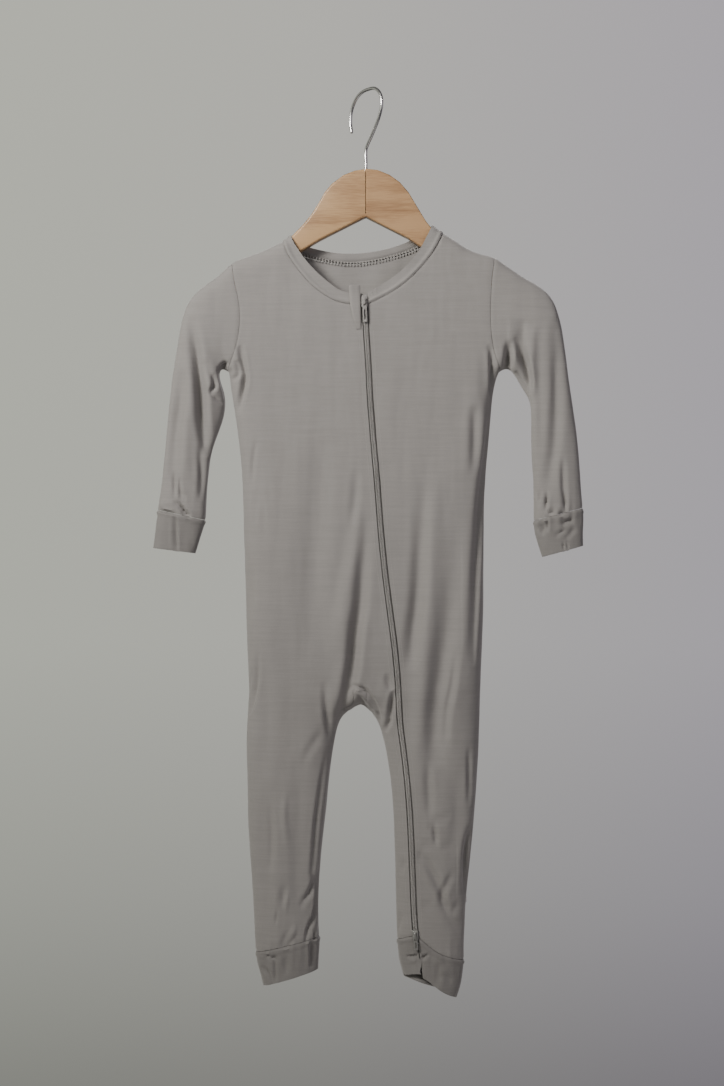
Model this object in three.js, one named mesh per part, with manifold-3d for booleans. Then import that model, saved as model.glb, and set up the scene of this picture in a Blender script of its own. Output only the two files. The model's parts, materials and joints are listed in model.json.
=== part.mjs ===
// Onesie pajama on a wooden hanger. Millimetres, +Z up, front towards -Y.
// The origin is the inside top of the hook, where the hook rests on what holds it.
// Right and left are the wearer's: the right side is at -X.
import * as THREE from "three";
import Module from "manifold-3d";

const wasm = await Module();
wasm.setup();

// Walls of the cloth and gaps between sewn pieces
const PANEL_WALL = 1.2;
const CUFF_WALL = 2.0;
const BAND_WALL = 1.6;
const GUARD_WALL = 1.6;
const SEAM_GAP = 0.3;

// Shape of a hanging tube: the reach of its rounded side folds, how full the rounding is, and
// how much the cloth still bows out towards its middle
const FOLD_REACH = 26;
const FOLD_FULLNESS = 0.8;
const CROWN = 0.1;
const SLEEVE_SQUARENESS = 0.7;
const SHOULDER_ROUNDING = 8;
const UNDERARM_ROUNDING = 30;
// How far the yoke stands off the middle, by height
const YOKE_DEPTHS = [
  { z: -252, front: 14, back: 13 },
  { z: -225, front: 13.3, back: 12.6 },
  { z: -190, front: 12.6, back: 12.1 },
  { z: -165, front: 11.4, back: 11.2 },
  { z: -145, front: 10.5, back: 10.5 },
];

// Zip
const ZIP_OPENING_HALF = 3;
const TAPE_OUTER = 10;
const TAPE_INNER = 0.95;
const TAPE_TOP = -1.9;
const TAPE_BOTTOM = -2.8;
const COIL_OUTER = 2.0;
const COIL_INNER = 0.15;
const COIL_BOTTOM = -1.6;
const COIL_CREST = 0.6;

// Columns of the front and back, counted between named lines of the garment
const SHOULDER_RIGHT_STEPS = 5;
const SHOULDER_LEFT_STEPS = 4;
const NECK_STEPS = 6;
const CENTRE_STEPS = 4;
const YOKE_ROWS = 10;
const RIGHT_STEPS = SHOULDER_RIGHT_STEPS + NECK_STEPS;
const LEFT_STEPS = SHOULDER_LEFT_STEPS + NECK_STEPS;
const ZIP_COLUMN = RIGHT_STEPS + CENTRE_STEPS;
const FRONT_STEPS = ZIP_COLUMN + 1 + LEFT_STEPS;
const BACK_STEPS = LEFT_STEPS + RIGHT_STEPS;

// Rows of the body from the underarm down. right and left are the side folds, middle is the
// line that runs down to the crotch, front and back are how far the cloth stands off the middle.
const BODY_ROWS = [
  { z: -252.0, right: -124.2, middle: -22.5, zip: 2.5, left: 120.6, front: 14, back: 13 },
  { z: -265.5, right: -123.3, middle: -21.6, zip: 3.1, left: 117.5, front: 14.5, back: 13.5 },
  { z: -277.2, right: -121.5, middle: -21.2, zip: 3.6, left: 115.7, front: 15, back: 14 },
  { z: -298.8, right: -117.5, middle: -19.8, zip: 5.4, left: 113.8, front: 16, back: 15 },
  { z: -322.2, right: -114.8, middle: -18.0, zip: 7.2, left: 111.6, front: 17, back: 16 },
  { z: -349.2, right: -112.3, middle: -16.2, zip: 9.9, left: 108.9, front: 18.5, back: 17 },
  { z: -389.7, right: -111.4, middle: -13.5, zip: 12.6, left: 107.4, front: 20, back: 18 },
  { z: -430.2, right: -110.2, middle: -11.2, zip: 16.5, left: 107.4, front: 21.5, back: 19 },
  { z: -470.7, right: -109.8, middle: -9.0, zip: 21.9, left: 106.9, front: 23, back: 20 },
  { z: -502.2, right: -108.6, middle: -6.9, zip: 26.1, left: 105.8, front: 23, back: 20.5 },
  { z: -529.2, right: -107.7, middle: -5.4, zip: 28.4, left: 104.9, front: 22, back: 20 },
];
const LEG_SPACING_FROM = -430;
// How the columns crowd towards the side folds of the body, and how evenly they lie on a leg
const SIDE_CROWDING = 1.3;
const LEG_CROWDING = 0.45;

// Rows between the last body row and the first leg row, as shares of the way down
const CROTCH_SHARES = [0.4, 0.75];

// Rows of the legs from the crotch to the cuff seam
const RIGHT_LEG_ROWS = [
  { outerX: -107.1, outerZ: -538.2, innerX: -4.5, innerZ: -551.2, front: 21, back: 19 },
  { outerX: -108.0, outerZ: -552.6, innerX: -14.4, innerZ: -557.1, front: 20, back: 18 },
  { outerX: -108.5, outerZ: -567.0, innerX: -22.1, innerZ: -563.4, front: 19.5, back: 18 },
  { outerX: -109.3, outerZ: -587.7, innerX: -26.6, innerZ: -581.4, front: 19, back: 17 },
  { outerX: -108.2, outerZ: -619.2, innerX: -31.2, innerZ: -614.7, front: 18, back: 17 },
  { outerX: -107.6, outerZ: -650.7, innerX: -34.6, innerZ: -648.0, front: 18, back: 16 },
  { outerX: -105.8, outerZ: -682.2, innerX: -38.1, innerZ: -680.4, front: 17, back: 16 },
  { outerX: -104.0, outerZ: -709.2, innerX: -41.0, innerZ: -709.2, front: 17, back: 15 },
  { outerX: -102.3, outerZ: -740.7, innerX: -42.0, innerZ: -736.2, front: 16, back: 15 },
  { outerX: -100.4, outerZ: -776.9, innerX: -40.5, innerZ: -760.5, front: 15, back: 14 },
];
const RIGHT_LEG_CUFF_ROWS = [
  { outerX: -96.8, outerZ: -790.2, innerX: -41.0, innerZ: -774.0, front: 14, back: 13 },
  { outerX: -93.6, outerZ: -803.7, innerX: -41.9, innerZ: -788.0, front: 13.5, back: 12.5 },
];
// lift is how far the zip end is drawn up above the line from fold to fold
const LEFT_LEG_ROWS = [
  { outerX: 104.4, outerZ: -538.2, innerX: -4.5, innerZ: -551.2, zip: 29.2, front: 21, back: 19, lift: 0 },
  { outerX: 104.0, outerZ: -552.6, innerX: 3.6, innerZ: -558.0, zip: 29.7, front: 20, back: 18, lift: 0 },
  { outerX: 103.5, outerZ: -567.0, innerX: 10.8, innerZ: -568.8, zip: 30.3, front: 19.5, back: 18, lift: 0 },
  { outerX: 103.1, outerZ: -587.7, innerX: 16.2, innerZ: -585.0, zip: 32.8, front: 19, back: 17, lift: 0 },
  { outerX: 100.6, outerZ: -623.7, innerX: 21.2, innerZ: -616.5, zip: 36.9, front: 18, back: 17, lift: 0 },
  { outerX: 98.3, outerZ: -655.2, innerX: 23.9, innerZ: -648.9, zip: 39.4, front: 18, back: 16, lift: 0 },
  { outerX: 94.8, outerZ: -686.7, innerX: 24.8, innerZ: -682.2, zip: 40.9, front: 17, back: 16, lift: 0 },
  { outerX: 92.0, outerZ: -713.7, innerX: 25.4, innerZ: -709.2, zip: 41.9, front: 17, back: 15, lift: 0 },
  { outerX: 89.5, outerZ: -745.2, innerX: 26.4, innerZ: -740.7, zip: 42.9, front: 16, back: 15, lift: 4 },
  { outerX: 88.2, outerZ: -786.6, innerX: 27.0, innerZ: -767.2, zip: 44.8, front: 15, back: 14, lift: 12 },
];
const LEFT_LEG_CUFF_ROWS = [
  { outerX: 88.0, outerZ: -789.2, innerX: 27.3, innerZ: -770.0, zip: 46.0, front: 15, back: 14, lift: 12 },
  { outerX: 86.9, outerZ: -801.0, innerX: 29.4, innerZ: -782.1, zip: 48.1, front: 14, back: 13, lift: 10 },
  { outerX: 82.3, outerZ: -814.1, innerX: 32.0, innerZ: -796.3, zip: 50.4, front: 13.5, back: 12.5, lift: 8 },
];
const CUFF_SLIT_HALF = 0.5;
const ZIP_LIFT_REACH = 14;

// Rings of the sleeves from the armhole to the cuff seam: outer is the top fold, inner the
// underside fold, half is half the flattened tube's thickness
const RIGHT_SLEEVE_ROWS = [
  { outerX: -120.6, outerZ: -152.6, innerX: -124.7, innerZ: -251.6, half: 11 },
  { outerX: -131.4, outerZ: -164.2, innerX: -130.2, innerZ: -248.6, half: 11.5 },
  { outerX: -143.1, outerZ: -172.8, innerX: -132.8, innerZ: -253.3, half: 12 },
  { outerX: -153.9, outerZ: -181.3, innerX: -131.8, innerZ: -260.1, half: 12.5 },
  { outerX: -161.1, outerZ: -189.9, innerX: -128.7, innerZ: -268.2, half: 13 },
  { outerX: -165.6, outerZ: -203.4, innerX: -126.0, innerZ: -277.2, half: 13 },
  { outerX: -168.8, outerZ: -221.4, innerX: -126.5, innerZ: -289.8, half: 13 },
  { outerX: -172.3, outerZ: -244.8, innerX: -131.4, innerZ: -305.6, half: 12.5 },
  { outerX: -175.7, outerZ: -269.1, innerX: -137.7, innerZ: -319.5, half: 12 },
  { outerX: -179.4, outerZ: -302.4, innerX: -140.8, innerZ: -335.7, half: 11.5 },
  { outerX: -181.8, outerZ: -329.4, innerX: -142.2, innerZ: -351.0, half: 11 },
  { outerX: -184.1, outerZ: -354.6, innerX: -143.6, innerZ: -369.0, half: 11 },
  { outerX: -187.4, outerZ: -377.1, innerX: -143.8, innerZ: -385.7, half: 10.5 },
];
const RIGHT_SLEEVE_CUFF_ROWS = [
  { outerX: -189.5, outerZ: -394.2, innerX: -148.5, innerZ: -400.5, half: 10 },
  { outerX: -191.7, outerZ: -410.4, innerX: -153.1, innerZ: -415.2, half: 9.5 },
];
const LEFT_SLEEVE_ROWS = [
  { outerX: 115.7, outerZ: -147.2, innerX: 120.6, innerZ: -252.0, half: 11 },
  { outerX: 127.8, outerZ: -157.1, innerX: 126.2, innerZ: -249.2, half: 11.5 },
  { outerX: 139.5, outerZ: -165.3, innerX: 130.5, innerZ: -250.9, half: 12 },
  { outerX: 152.1, outerZ: -172.3, innerX: 135.0, innerZ: -257.4, half: 12.5 },
  { outerX: 163.8, outerZ: -180.0, innerX: 138.6, innerZ: -263.7, half: 13 },
  { outerX: 171.0, outerZ: -191.7, innerX: 142.2, innerZ: -270.0, half: 13 },
  { outerX: 176.0, outerZ: -209.7, innerX: 147.6, innerZ: -278.1, half: 13 },
  { outerX: 179.1, outerZ: -229.5, innerX: 148.7, innerZ: -290.7, half: 12.5 },
  { outerX: 182.7, outerZ: -258.3, innerX: 148.7, innerZ: -308.7, half: 12 },
  { outerX: 187.2, outerZ: -289.4, innerX: 149.0, innerZ: -326.7, half: 11.5 },
  { outerX: 190.3, outerZ: -313.2, innerX: 149.8, innerZ: -342.0, half: 11 },
  { outerX: 192.6, outerZ: -340.2, innerX: 150.6, innerZ: -358.2, half: 11 },
  { outerX: 195.3, outerZ: -378.3, innerX: 149.8, innerZ: -388.3, half: 10.5 },
];
const LEFT_SLEEVE_CUFF_ROWS = [
  { outerX: 195.6, outerZ: -393.3, innerX: 153.0, innerZ: -403.2, half: 10 },
  { outerX: 195.8, outerZ: -408.2, innerX: 158.4, innerZ: -418.5, half: 9.5 },
];
// Share of the armhole's own shape that the first sleeve rings keep
const ARMHOLE_SHAPE_KEPT = [1, 0.65, 0.35, 0.12];

// Sewn lines as [x, z] points
const RIGHT_ARMHOLE = [
  [-124.2, -252.0], [-120.6, -243.0], [-116.1, -232.2], [-113.0, -219.6], [-111.4, -203.4],
  [-112.9, -188.1], [-117.0, -173.7], [-120.6, -152.6],
];
const LEFT_ARMHOLE = [
  [120.6, -252.0], [113.8, -235.8], [111.1, -221.4], [110.3, -197.1], [112.1, -170.1],
  [115.7, -147.2],
];
const RIGHT_SHOULDER = [[-120.6, -152.6], [-108.9, -148.5], [-95.4, -144.2], [-74.7, -134.1]];
const LEFT_SHOULDER = [[69.3, -126.2], [93.6, -142.4], [104.6, -146.1], [115.7, -147.2]];
const NECK_SEAM = {
  frontRight: [[-74.7, -134.1], [-73.3, -141.8], [-69.7, -149.9], [-56.7, -167.4], [-43.3, -182.0],
    [-28.8, -189.5]],
  frontCentre: [[-28.8, -189.5], [-16.5, -192.2], [-4.3, -193.1]],
  frontLeft: [[1.7, -192.4], [6.3, -191.3], [18.7, -186.1], [32.1, -176.8], [46.6, -163.4],
    [60.0, -146.9], [67.2, -134.5], [69.3, -126.2]],
  backRight: [[-74.7, -134.1], [-68.4, -141.8], [-56.7, -147.2], [-41.2, -151.2], [-19.5, -154.6]],
  backLeft: [[-19.5, -154.6], [-5.0, -154.6], [15.6, -151.0], [36.3, -144.8], [47.6, -140.1],
    [61.2, -133.2], [69.3, -126.2]],
};
const NECK_EDGE = {
  frontRight: [[-68.4, -127.6], [-65.9, -135.2], [-61.9, -141.7], [-51.6, -156.2], [-39.1, -168.6],
    [-26.1, -178.7]],
  frontCentre: [[-26.1, -178.7], [-16.2, -182.3], [-4.5, -183.2]],
  frontLeft: [[1.5, -182.0], [8.4, -178.9], [17.6, -173.7], [32.1, -163.4], [44.6, -149.9],
    [50.8, -138.6], [56.2, -128.2], [60.3, -118.8]],
  backRight: [[-68.4, -127.6], [-62.1, -134.6], [-54.0, -138.4], [-43.3, -140.7], [-34.0, -142.7],
    [-19.5, -144.8]],
  backLeft: [[-19.5, -144.8], [-5.0, -144.6], [10.4, -142.7], [25.9, -138.6], [35.2, -135.0],
    [46.8, -129.6], [54.9, -124.2], [60.3, -118.8]],
};
const NECK_CORNER_CROWDING = 1.8;
// Highest line of the cloth over the hanger
const RIDGE = [
  [-120.6, -152.6], [-108.9, -148.5], [-95.4, -144.2], [-74.7, -134.1], [-68.4, -127.6],
  [60.3, -118.8], [69.3, -126.2], [93.6, -142.4], [104.6, -146.1], [115.7, -147.2],
];

// Largest folds: a soft trough from one point to another, its width and depth
const FOLDS = [
  { side: "front", fromX: 8, fromZ: -405, toX: -21, toZ: -560, width: 13, depth: 4 },
  { side: "front", fromX: -158, fromZ: -205, toX: -151, toZ: -335, width: 10, depth: 4 },
  { side: "front", fromX: 88, fromZ: -420, toX: 98, toZ: -650, width: 11, depth: 2.8 },
  { side: "front", fromX: 152, fromZ: -200, toX: 154, toZ: -290, width: 10, depth: 3.5 },
  { side: "front", fromX: -113, fromZ: -232, toX: -108, toZ: -300, width: 9, depth: 3 },
  { side: "front", fromX: 108, fromZ: -235, toX: 103, toZ: -315, width: 9, depth: 3 },
  { side: "front", fromX: -10, fromZ: -455, toX: -50, toZ: -735, width: 9, depth: 3.5 },
  { side: "front", fromX: 60, fromZ: -655, toX: 88, toZ: -765, width: 10, depth: 3 },
  { side: "back", fromX: -50, fromZ: -270, toX: -30, toZ: -480, width: 14, depth: 3.5 },
  { side: "back", fromX: 45, fromZ: -300, toX: 60, toZ: -560, width: 13, depth: 3.5 },
  { side: "back", fromX: -85, fromZ: -460, toX: -75, toZ: -700, width: 12, depth: 3 },
  { side: "back", fromX: 60, fromZ: -590, toX: 55, toZ: -740, width: 11, depth: 3 },
  { side: "back", fromX: -156, fromZ: -215, toX: -160, toZ: -350, width: 10, depth: 3.5 },
  { side: "back", fromX: 158, fromZ: -210, toX: 170, toZ: -345, width: 10, depth: 3.5 },
];

// Hanger arms: sections from the glue line to the tip: half is half the thickness
const WOOD_EASE = 2.6;
const RIGHT_ARM = [
  { x: -0.15, top: -69.8, bottom: -113.2, half: 5.5 },
  { x: -9.9, top: -71.3, bottom: -118.1, half: 5.5 },
  { x: -19.9, top: -75.2, bottom: -123.2, half: 5.5 },
  { x: -30.6, top: -83.1, bottom: -128.6, half: 5.5 },
  { x: -37.1, top: -90.9, bottom: -131.9, half: 5.5 },
  { x: -42.3, top: -100.2, bottom: -134.6, half: 5.5 },
  { x: -49.0, top: -110.7, bottom: -138.6, half: 5.5 },
  { x: -56.9, top: -120.3, bottom: -143.4, half: 5.5 },
  { x: -66.6, top: -130.2, bottom: -149.2, half: 5.5 },
  { x: -74.7, top: -138.1, bottom: -154.4, half: 5.5 },
  { x: -95.4, top: -148.6, bottom: -166.8, half: 5.5 },
  { x: -120.6, top: -161.8, bottom: -181.0, half: 5.5 },
  { x: -132.0, top: -168.4, bottom: -187.2, half: 5.5 },
  { x: -139.0, top: -173.1, bottom: -189.6, half: 5.5 },
  { x: -144.2, top: -177.6, bottom: -189.2, half: 5.0 },
  { x: -147.0, top: -181.0, bottom: -187.4, half: 4.2 },
  { x: -148.1, top: -183.4, bottom: -185.6, half: 3.0 },
];
const LEFT_ARM = [
  { x: 0.15, top: -69.8, bottom: -113.2, half: 5.5 },
  { x: 10.4, top: -70.9, bottom: -118.4, half: 5.5 },
  { x: 21.1, top: -75.2, bottom: -123.8, half: 5.5 },
  { x: 30.2, top: -81.7, bottom: -128.4, half: 5.5 },
  { x: 38.2, top: -90.9, bottom: -132.5, half: 5.5 },
  { x: 46.1, top: -104.1, bottom: -138.0, half: 5.5 },
  { x: 54.0, top: -117.1, bottom: -142.6, half: 5.5 },
  { x: 60.5, top: -125.1, bottom: -146.0, half: 5.5 },
  { x: 69.3, top: -129.9, bottom: -150.6, half: 5.5 },
  { x: 93.6, top: -146.0, bottom: -164.2, half: 5.5 },
  { x: 115.7, top: -158.1, bottom: -176.0, half: 5.5 },
  { x: 138.6, top: -170.7, bottom: -188.0, half: 5.5 },
  { x: 147.0, top: -175.6, bottom: -190.4, half: 5.5 },
  { x: 153.0, top: -180.2, bottom: -190.6, half: 5.0 },
  { x: 156.5, top: -184.0, bottom: -189.2, half: 4.2 },
  { x: 157.9, top: -186.2, bottom: -188.0, half: 3.0 },
];
const WIRE = 3;
const SOCKET = 3.6;
const SOCKET_BOTTOM = -80;
const HOOK_TURN = 33.6;
// Centre line of the wire: out is the distance from the stem towards the front
const HOOK_PATH = [
  { out: 0, z: -77 }, { out: 0, z: -64 }, { out: 0, z: -52.5 }, { out: 3.2, z: -47.2 },
  { out: 9.8, z: -40.2 }, { out: 20.3, z: -27.2 }, { out: 25.2, z: -15.5 }, { out: 22.8, z: -6.0 },
  { out: 14.5, z: 0.4 }, { out: 3, z: 1.7 }, { out: -7.5, z: 0.6 }, { out: -17, z: -4.2 },
  { out: -23.6, z: -13 }, { out: -25.2, z: -24 }, { out: -23.6, z: -32 },
];

// Sliders: place is the height of the slider's middle along the zip
const SLIDER_WIDTH = 5.6;
const SLIDER_PLATE = 1.0;
const SLIDER_FRONT = 0.9;
const SLIDER_BACK = -3.1;
const SLIDERS = {
  top: { z: -190, length: 10, nose: 1, tabLength: 19 },
  bottom: { z: -756, length: 9, nose: -1, tabLength: 13 },
};
const SHIELD_CORNER = 0.7;
const WEDGE = { half: 0.6, length: 2 };
const SIDE_WALL = { thick: 0.5, inner: 0.5, short: 1 };
// Bridge over the slider: low and high are how far it stands off the front plate
const BRIDGE = { half: 0.7, reach: 2.6, foot: 0.9, low: 1.4, high: 2.3 };
const TAB_WIDTH = 4;
const TAB_THICK = 0.8;
const TAB_STANDOFF = 0.3;
const TAB_CORNER = { across: 0.9, up: 1.2 };
const TAB_WINDOW = { half: 1.1, top: -0.7, bottom: -4.4 };

// Guard of the zip and the side label
const GUARD_ROWS = [
  { z: -175.8, from: -15.3, to: -5.2 },
  { z: -183.5, from: -14.9, to: -5.1 },
  { z: -192.0, from: -14.4, to: -4.9 },
  { z: -204.0, from: -11.9, to: -4.6 },
  { z: -215.0, from: -8.8, to: -4.6 },
];
const GUARD_STANDOFF = 0.35;
const LABEL = { x: 91.6, z: -726.3, out: 3.2, tall: 5.4, thick: 1.2 };

// Small helpers

/** The value a share of the way from one number to another. */
function mix(from, to, share) {
  return from + (to - from) * share;
}

/** A number held between 0 and 1. */
function clamp01(value) {
  return Math.min(1, Math.max(0, value));
}

/** The [x, z] point a share of the way along a line of [x, z] points. */
function along(line, share) {
  const lengths = line.slice(1).map((p, i) => Math.hypot(p[0] - line[i][0], p[1] - line[i][1]));
  let left = share * lengths.reduce((sum, length) => sum + length, 0);
  for (let i = 0; i < lengths.length; i += 1) {
    if (left <= lengths[i] || i === lengths.length - 1) {
      const part = Math.min(1, left / lengths[i]);
      return [mix(line[i][0], line[i + 1][0], part), mix(line[i][1], line[i + 1][1], part)];
    }
    left -= lengths[i];
  }
  return line[line.length - 1];
}

/** One coordinate of a line at a value of the other, held at the line's ends. */
function readLine(line, key, value, result) {
  const rising = line[line.length - 1][key] > line[0][key] ? line : [...line].reverse();
  if (value <= rising[0][key]) return rising[0][result];
  for (let i = 0; i < rising.length - 1; i += 1) {
    if (value <= rising[i + 1][key]) {
      const span = rising[i + 1][key] - rising[i][key];
      return mix(rising[i][result], rising[i + 1][result], (value - rising[i][key]) / span);
    }
  }
  return rising[rising.length - 1][result];
}

/** How full a flattened tube is at a place between its side folds at two places. */
function fullness(x, one, other) {
  const width = Math.abs(other - one);
  const inward = Math.min(Math.abs(x - one), Math.abs(x - other));
  const near = 1 - clamp01(inward / Math.min(FOLD_REACH, width / 2));
  const place = (2 * x - one - other) / width;
  return (1 - near * near) ** (FOLD_FULLNESS / 2) * (1 - CROWN * place * place);
}

/** How far the folds push the cloth in at a point of the front or back. */
function foldDepth(side, x, z) {
  let sum = 0;
  for (const fold of FOLDS) {
    if (fold.side !== side) continue;
    const runX = fold.toX - fold.fromX;
    const runZ = fold.toZ - fold.fromZ;
    const length = Math.hypot(runX, runZ);
    const share = ((x - fold.fromX) * runX + (z - fold.fromZ) * runZ) / (length * length);
    if (share <= 0 || share >= 1) continue;
    const off = ((x - fold.fromX) * runZ - (z - fold.fromZ) * runX) / length / fold.width;
    sum += fold.depth * Math.sin(Math.PI * share) ** 0.7 * (1 - off * off) * Math.exp(-off * off);
  }
  return sum;
}

// Outer surface of the whole garment: points shared by neighbouring pieces

const points = [];
const quads = [];

/** Adds a point and returns its number. */
function addPoint(x, y, z) {
  points.push(new THREE.Vector3(x, y, z));
  return points.length - 1;
}

/** Adds a four-sided patch of one piece, seen anticlockwise from outside. */
function addQuad(piece, a, b, c, d) {
  quads.push({ piece, corners: [a, b, c, d] });
}

/** A point on the front or back of a tube, its side folds at right and left. */
function tubePoint(side, x, z, right, left, depth) {
  const stand = (depth - foldDepth(side, x, z)) * fullness(x, right, left);
  return addPoint(x, side === "front" ? -stand : stand, z);
}

/** Place of a column between an outer side fold (0) and the middle or inseam (1). */
function sideSpacing(share, legLike) {
  const crowded = (1 - Math.cos(Math.PI * share)) / 2;
  return mix(share ** SIDE_CROWDING, mix(share, crowded, LEG_CROWDING), legLike);
}

/** The x of every front column, from the right fold to the left one. */
function frontColumns(row, legLike, opening) {
  const list = [];
  for (let i = 0; i < RIGHT_STEPS; i += 1) {
    list.push(mix(row.right, row.middle, sideSpacing(i / RIGHT_STEPS, legLike)));
  }
  for (let i = 0; i <= CENTRE_STEPS; i += 1) {
    const share = i / CENTRE_STEPS;
    list.push(mix(row.middle, row.zip - opening, mix(share, share ** SIDE_CROWDING, legLike)));
  }
  for (let i = 0; i <= LEFT_STEPS; i += 1) {
    list.push(mix(row.left, row.zip + opening, ((LEFT_STEPS - i) / LEFT_STEPS) ** SIDE_CROWDING));
  }
  return list;
}

/** The x of every back column, from the left fold to the right one. */
function backColumns(row, legLike) {
  const list = [];
  for (let i = 0; i < LEFT_STEPS; i += 1) {
    list.push(mix(row.left, row.middle, sideSpacing(i / LEFT_STEPS, legLike)));
  }
  for (let i = 0; i <= RIGHT_STEPS; i += 1) {
    list.push(mix(row.right, row.middle, sideSpacing((RIGHT_STEPS - i) / RIGHT_STEPS, legLike)));
  }
  return list;
}

/** One body row: numbers of its front points and of its back points, sharing both ends. */
function bodyRow(row) {
  const legLike = clamp01((LEG_SPACING_FROM - row.z) / (LEG_SPACING_FROM - BODY_ROWS.at(-1).z));
  const frontXs = frontColumns(row, legLike, ZIP_OPENING_HALF);
  const front = frontXs.map((x) => tubePoint("front", x, row.z, row.right, row.left, row.front));
  const inner = backColumns(row, legLike).slice(1, -1);
  const back = inner.map((x) => tubePoint("back", x, row.z, row.right, row.left, row.back));
  return { front, back: [front.at(-1), ...back, front[0]] };
}

/** Joins two neighbouring rows of points with patches, the lower row first. */
function joinRows(lower, upper, pieceAt) {
  for (let i = 0; i < lower.length - 1; i += 1) {
    addQuad(pieceAt(i), lower[i], lower[i + 1], upper[i + 1], upper[i]);
  }
}

/** Name of the front piece at a column. */
function frontPiece(column) {
  if (column < ZIP_COLUMN) return "front_right";
  return column === ZIP_COLUMN ? "zip_gap" : "front_left";
}

const zipRows = [];

/** Keeps the front points beside the zip, for what is sewn under and over them. */
function keepZipRow(front, rightEdge) {
  zipRows.push({
    right: front.slice(Math.max(0, rightEdge - 4), rightEdge + 1),
    left: front.slice(rightEdge + 1, rightEdge + 6),
  });
}

// Body below the underarm
const bodyRings = BODY_ROWS.map(bodyRow);
for (let i = 1; i < bodyRings.length; i += 1) {
  joinRows(bodyRings[i].front, bodyRings[i - 1].front, frontPiece);
  joinRows(bodyRings[i].back, bodyRings[i - 1].back, () => "back");
}

// Yoke: from the underarm up to the shoulders and the neck seam
const UNDERARM = BODY_ROWS[0];

/** How far the yoke stands off the middle at a point of the front or back. */
function yokePoint(side, x, z, ends) {
  const depth = readLine(YOKE_DEPTHS, "z", z, side);
  const below = clamp01((readLine(RIDGE, 0, x, 1) - z) / SHOULDER_ROUNDING);
  const shoulder = Math.sqrt(1 - (1 - below) ** 2);
  const height = clamp01((z - UNDERARM.z) / UNDERARM_ROUNDING);
  const underarm = 1 - Math.sqrt(1 - (1 - height) ** 2);
  const place = (2 * x - UNDERARM.right - UNDERARM.left) / (UNDERARM.left - UNDERARM.right);
  const crown = 1 - CROWN * place * place;
  const edge = mix(crown, fullness(x, UNDERARM.right, UNDERARM.left), underarm);
  const stand = (depth - foldDepth(side, x, z) * ends) * shoulder * edge;
  return addPoint(x, side === "front" ? -stand : stand, z);
}

/** Places of the neck columns along the neck, crowded where it crosses the hanger. */
function neckShares() {
  const shares = [];
  for (let i = 0; i <= NECK_STEPS; i += 1) shares.push((i / NECK_STEPS) ** NECK_CORNER_CROWDING);
  return shares;
}

/** Points of one neck line at the columns of the front. */
function frontNeckLine(line) {
  const right = neckShares().map((share) => along(line.frontRight, share));
  const centre = [];
  for (let i = 1; i <= CENTRE_STEPS; i += 1) centre.push(along(line.frontCentre, i / CENTRE_STEPS));
  const left = neckShares().reverse().map((share) => along(line.frontLeft, 1 - share));
  return [...right, ...centre, ...left];
}

/** Points of one neck line at the columns of the back. */
function backNeckLine(line) {
  const left = neckShares().map((share) => along(line.backLeft, 1 - share));
  const right = neckShares().reverse().slice(1).map((share) => along(line.backRight, share));
  return [...left, ...right];
}

/** Points of a shoulder line at its columns. */
function shoulderLine(line, steps) {
  const list = [];
  for (let i = 0; i <= steps; i += 1) list.push(along(line, i / steps));
  return list;
}

const rightShoulder = shoulderLine(RIGHT_SHOULDER, SHOULDER_RIGHT_STEPS);
const leftShoulder = shoulderLine(LEFT_SHOULDER, SHOULDER_LEFT_STEPS);
const frontTops = [
  ...rightShoulder.slice(0, -1), ...frontNeckLine(NECK_SEAM), ...leftShoulder.slice(1),
];
const backTops = [
  ...[...leftShoulder].reverse().slice(0, -1), ...backNeckLine(NECK_SEAM),
  ...[...rightShoulder].reverse().slice(1),
];

/** How far a row of the yoke is bowed sideways to follow an armhole. */
function armholeBow(line, height) {
  const [endX, endZ] = line.at(-1);
  const z = mix(UNDERARM.z, endZ, height);
  return readLine(line, 1, z, 0) - mix(line[0][0], endX, height);
}

/** One column of the yoke at a height between the underarm (0) and its top point (1). */
function yokeColumn(side, base, top, height, fromRight, fromLeft) {
  const rightBow = armholeBow(RIGHT_ARMHOLE, height) * clamp01(1 - fromRight / 5);
  const leftBow = armholeBow(LEFT_ARMHOLE, height) * clamp01(1 - fromLeft / 5);
  const x = mix(base.x, top[0], height) + rightBow + leftBow;
  return yokePoint(side, x, mix(base.z, top[1], height), 1 - height);
}

const yokeFront = [bodyRings[0].front];
const yokeBack = [bodyRings[0].back];
for (let row = 1; row <= YOKE_ROWS; row += 1) {
  const height = (1 - Math.cos((Math.PI * row) / YOKE_ROWS)) / 2;
  const front = bodyRings[0].front.map((number, i) => (
    yokeColumn("front", points[number], frontTops[i], height, i, FRONT_STEPS - i)
  ));
  const back = bodyRings[0].back.map((number, i) => {
    const onShoulder = i <= SHOULDER_LEFT_STEPS || i >= BACK_STEPS - SHOULDER_RIGHT_STEPS;
    if (row === YOKE_ROWS && onShoulder) {
      return i <= SHOULDER_LEFT_STEPS ? front[FRONT_STEPS - i] : front[BACK_STEPS - i];
    }
    return yokeColumn("back", points[number], backTops[i], height, BACK_STEPS - i, i);
  });
  joinRows(yokeFront.at(-1), front, frontPiece);
  joinRows(yokeBack.at(-1), back, () => "back");
  yokeFront.push(front);
  yokeBack.push(back);
}

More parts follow.
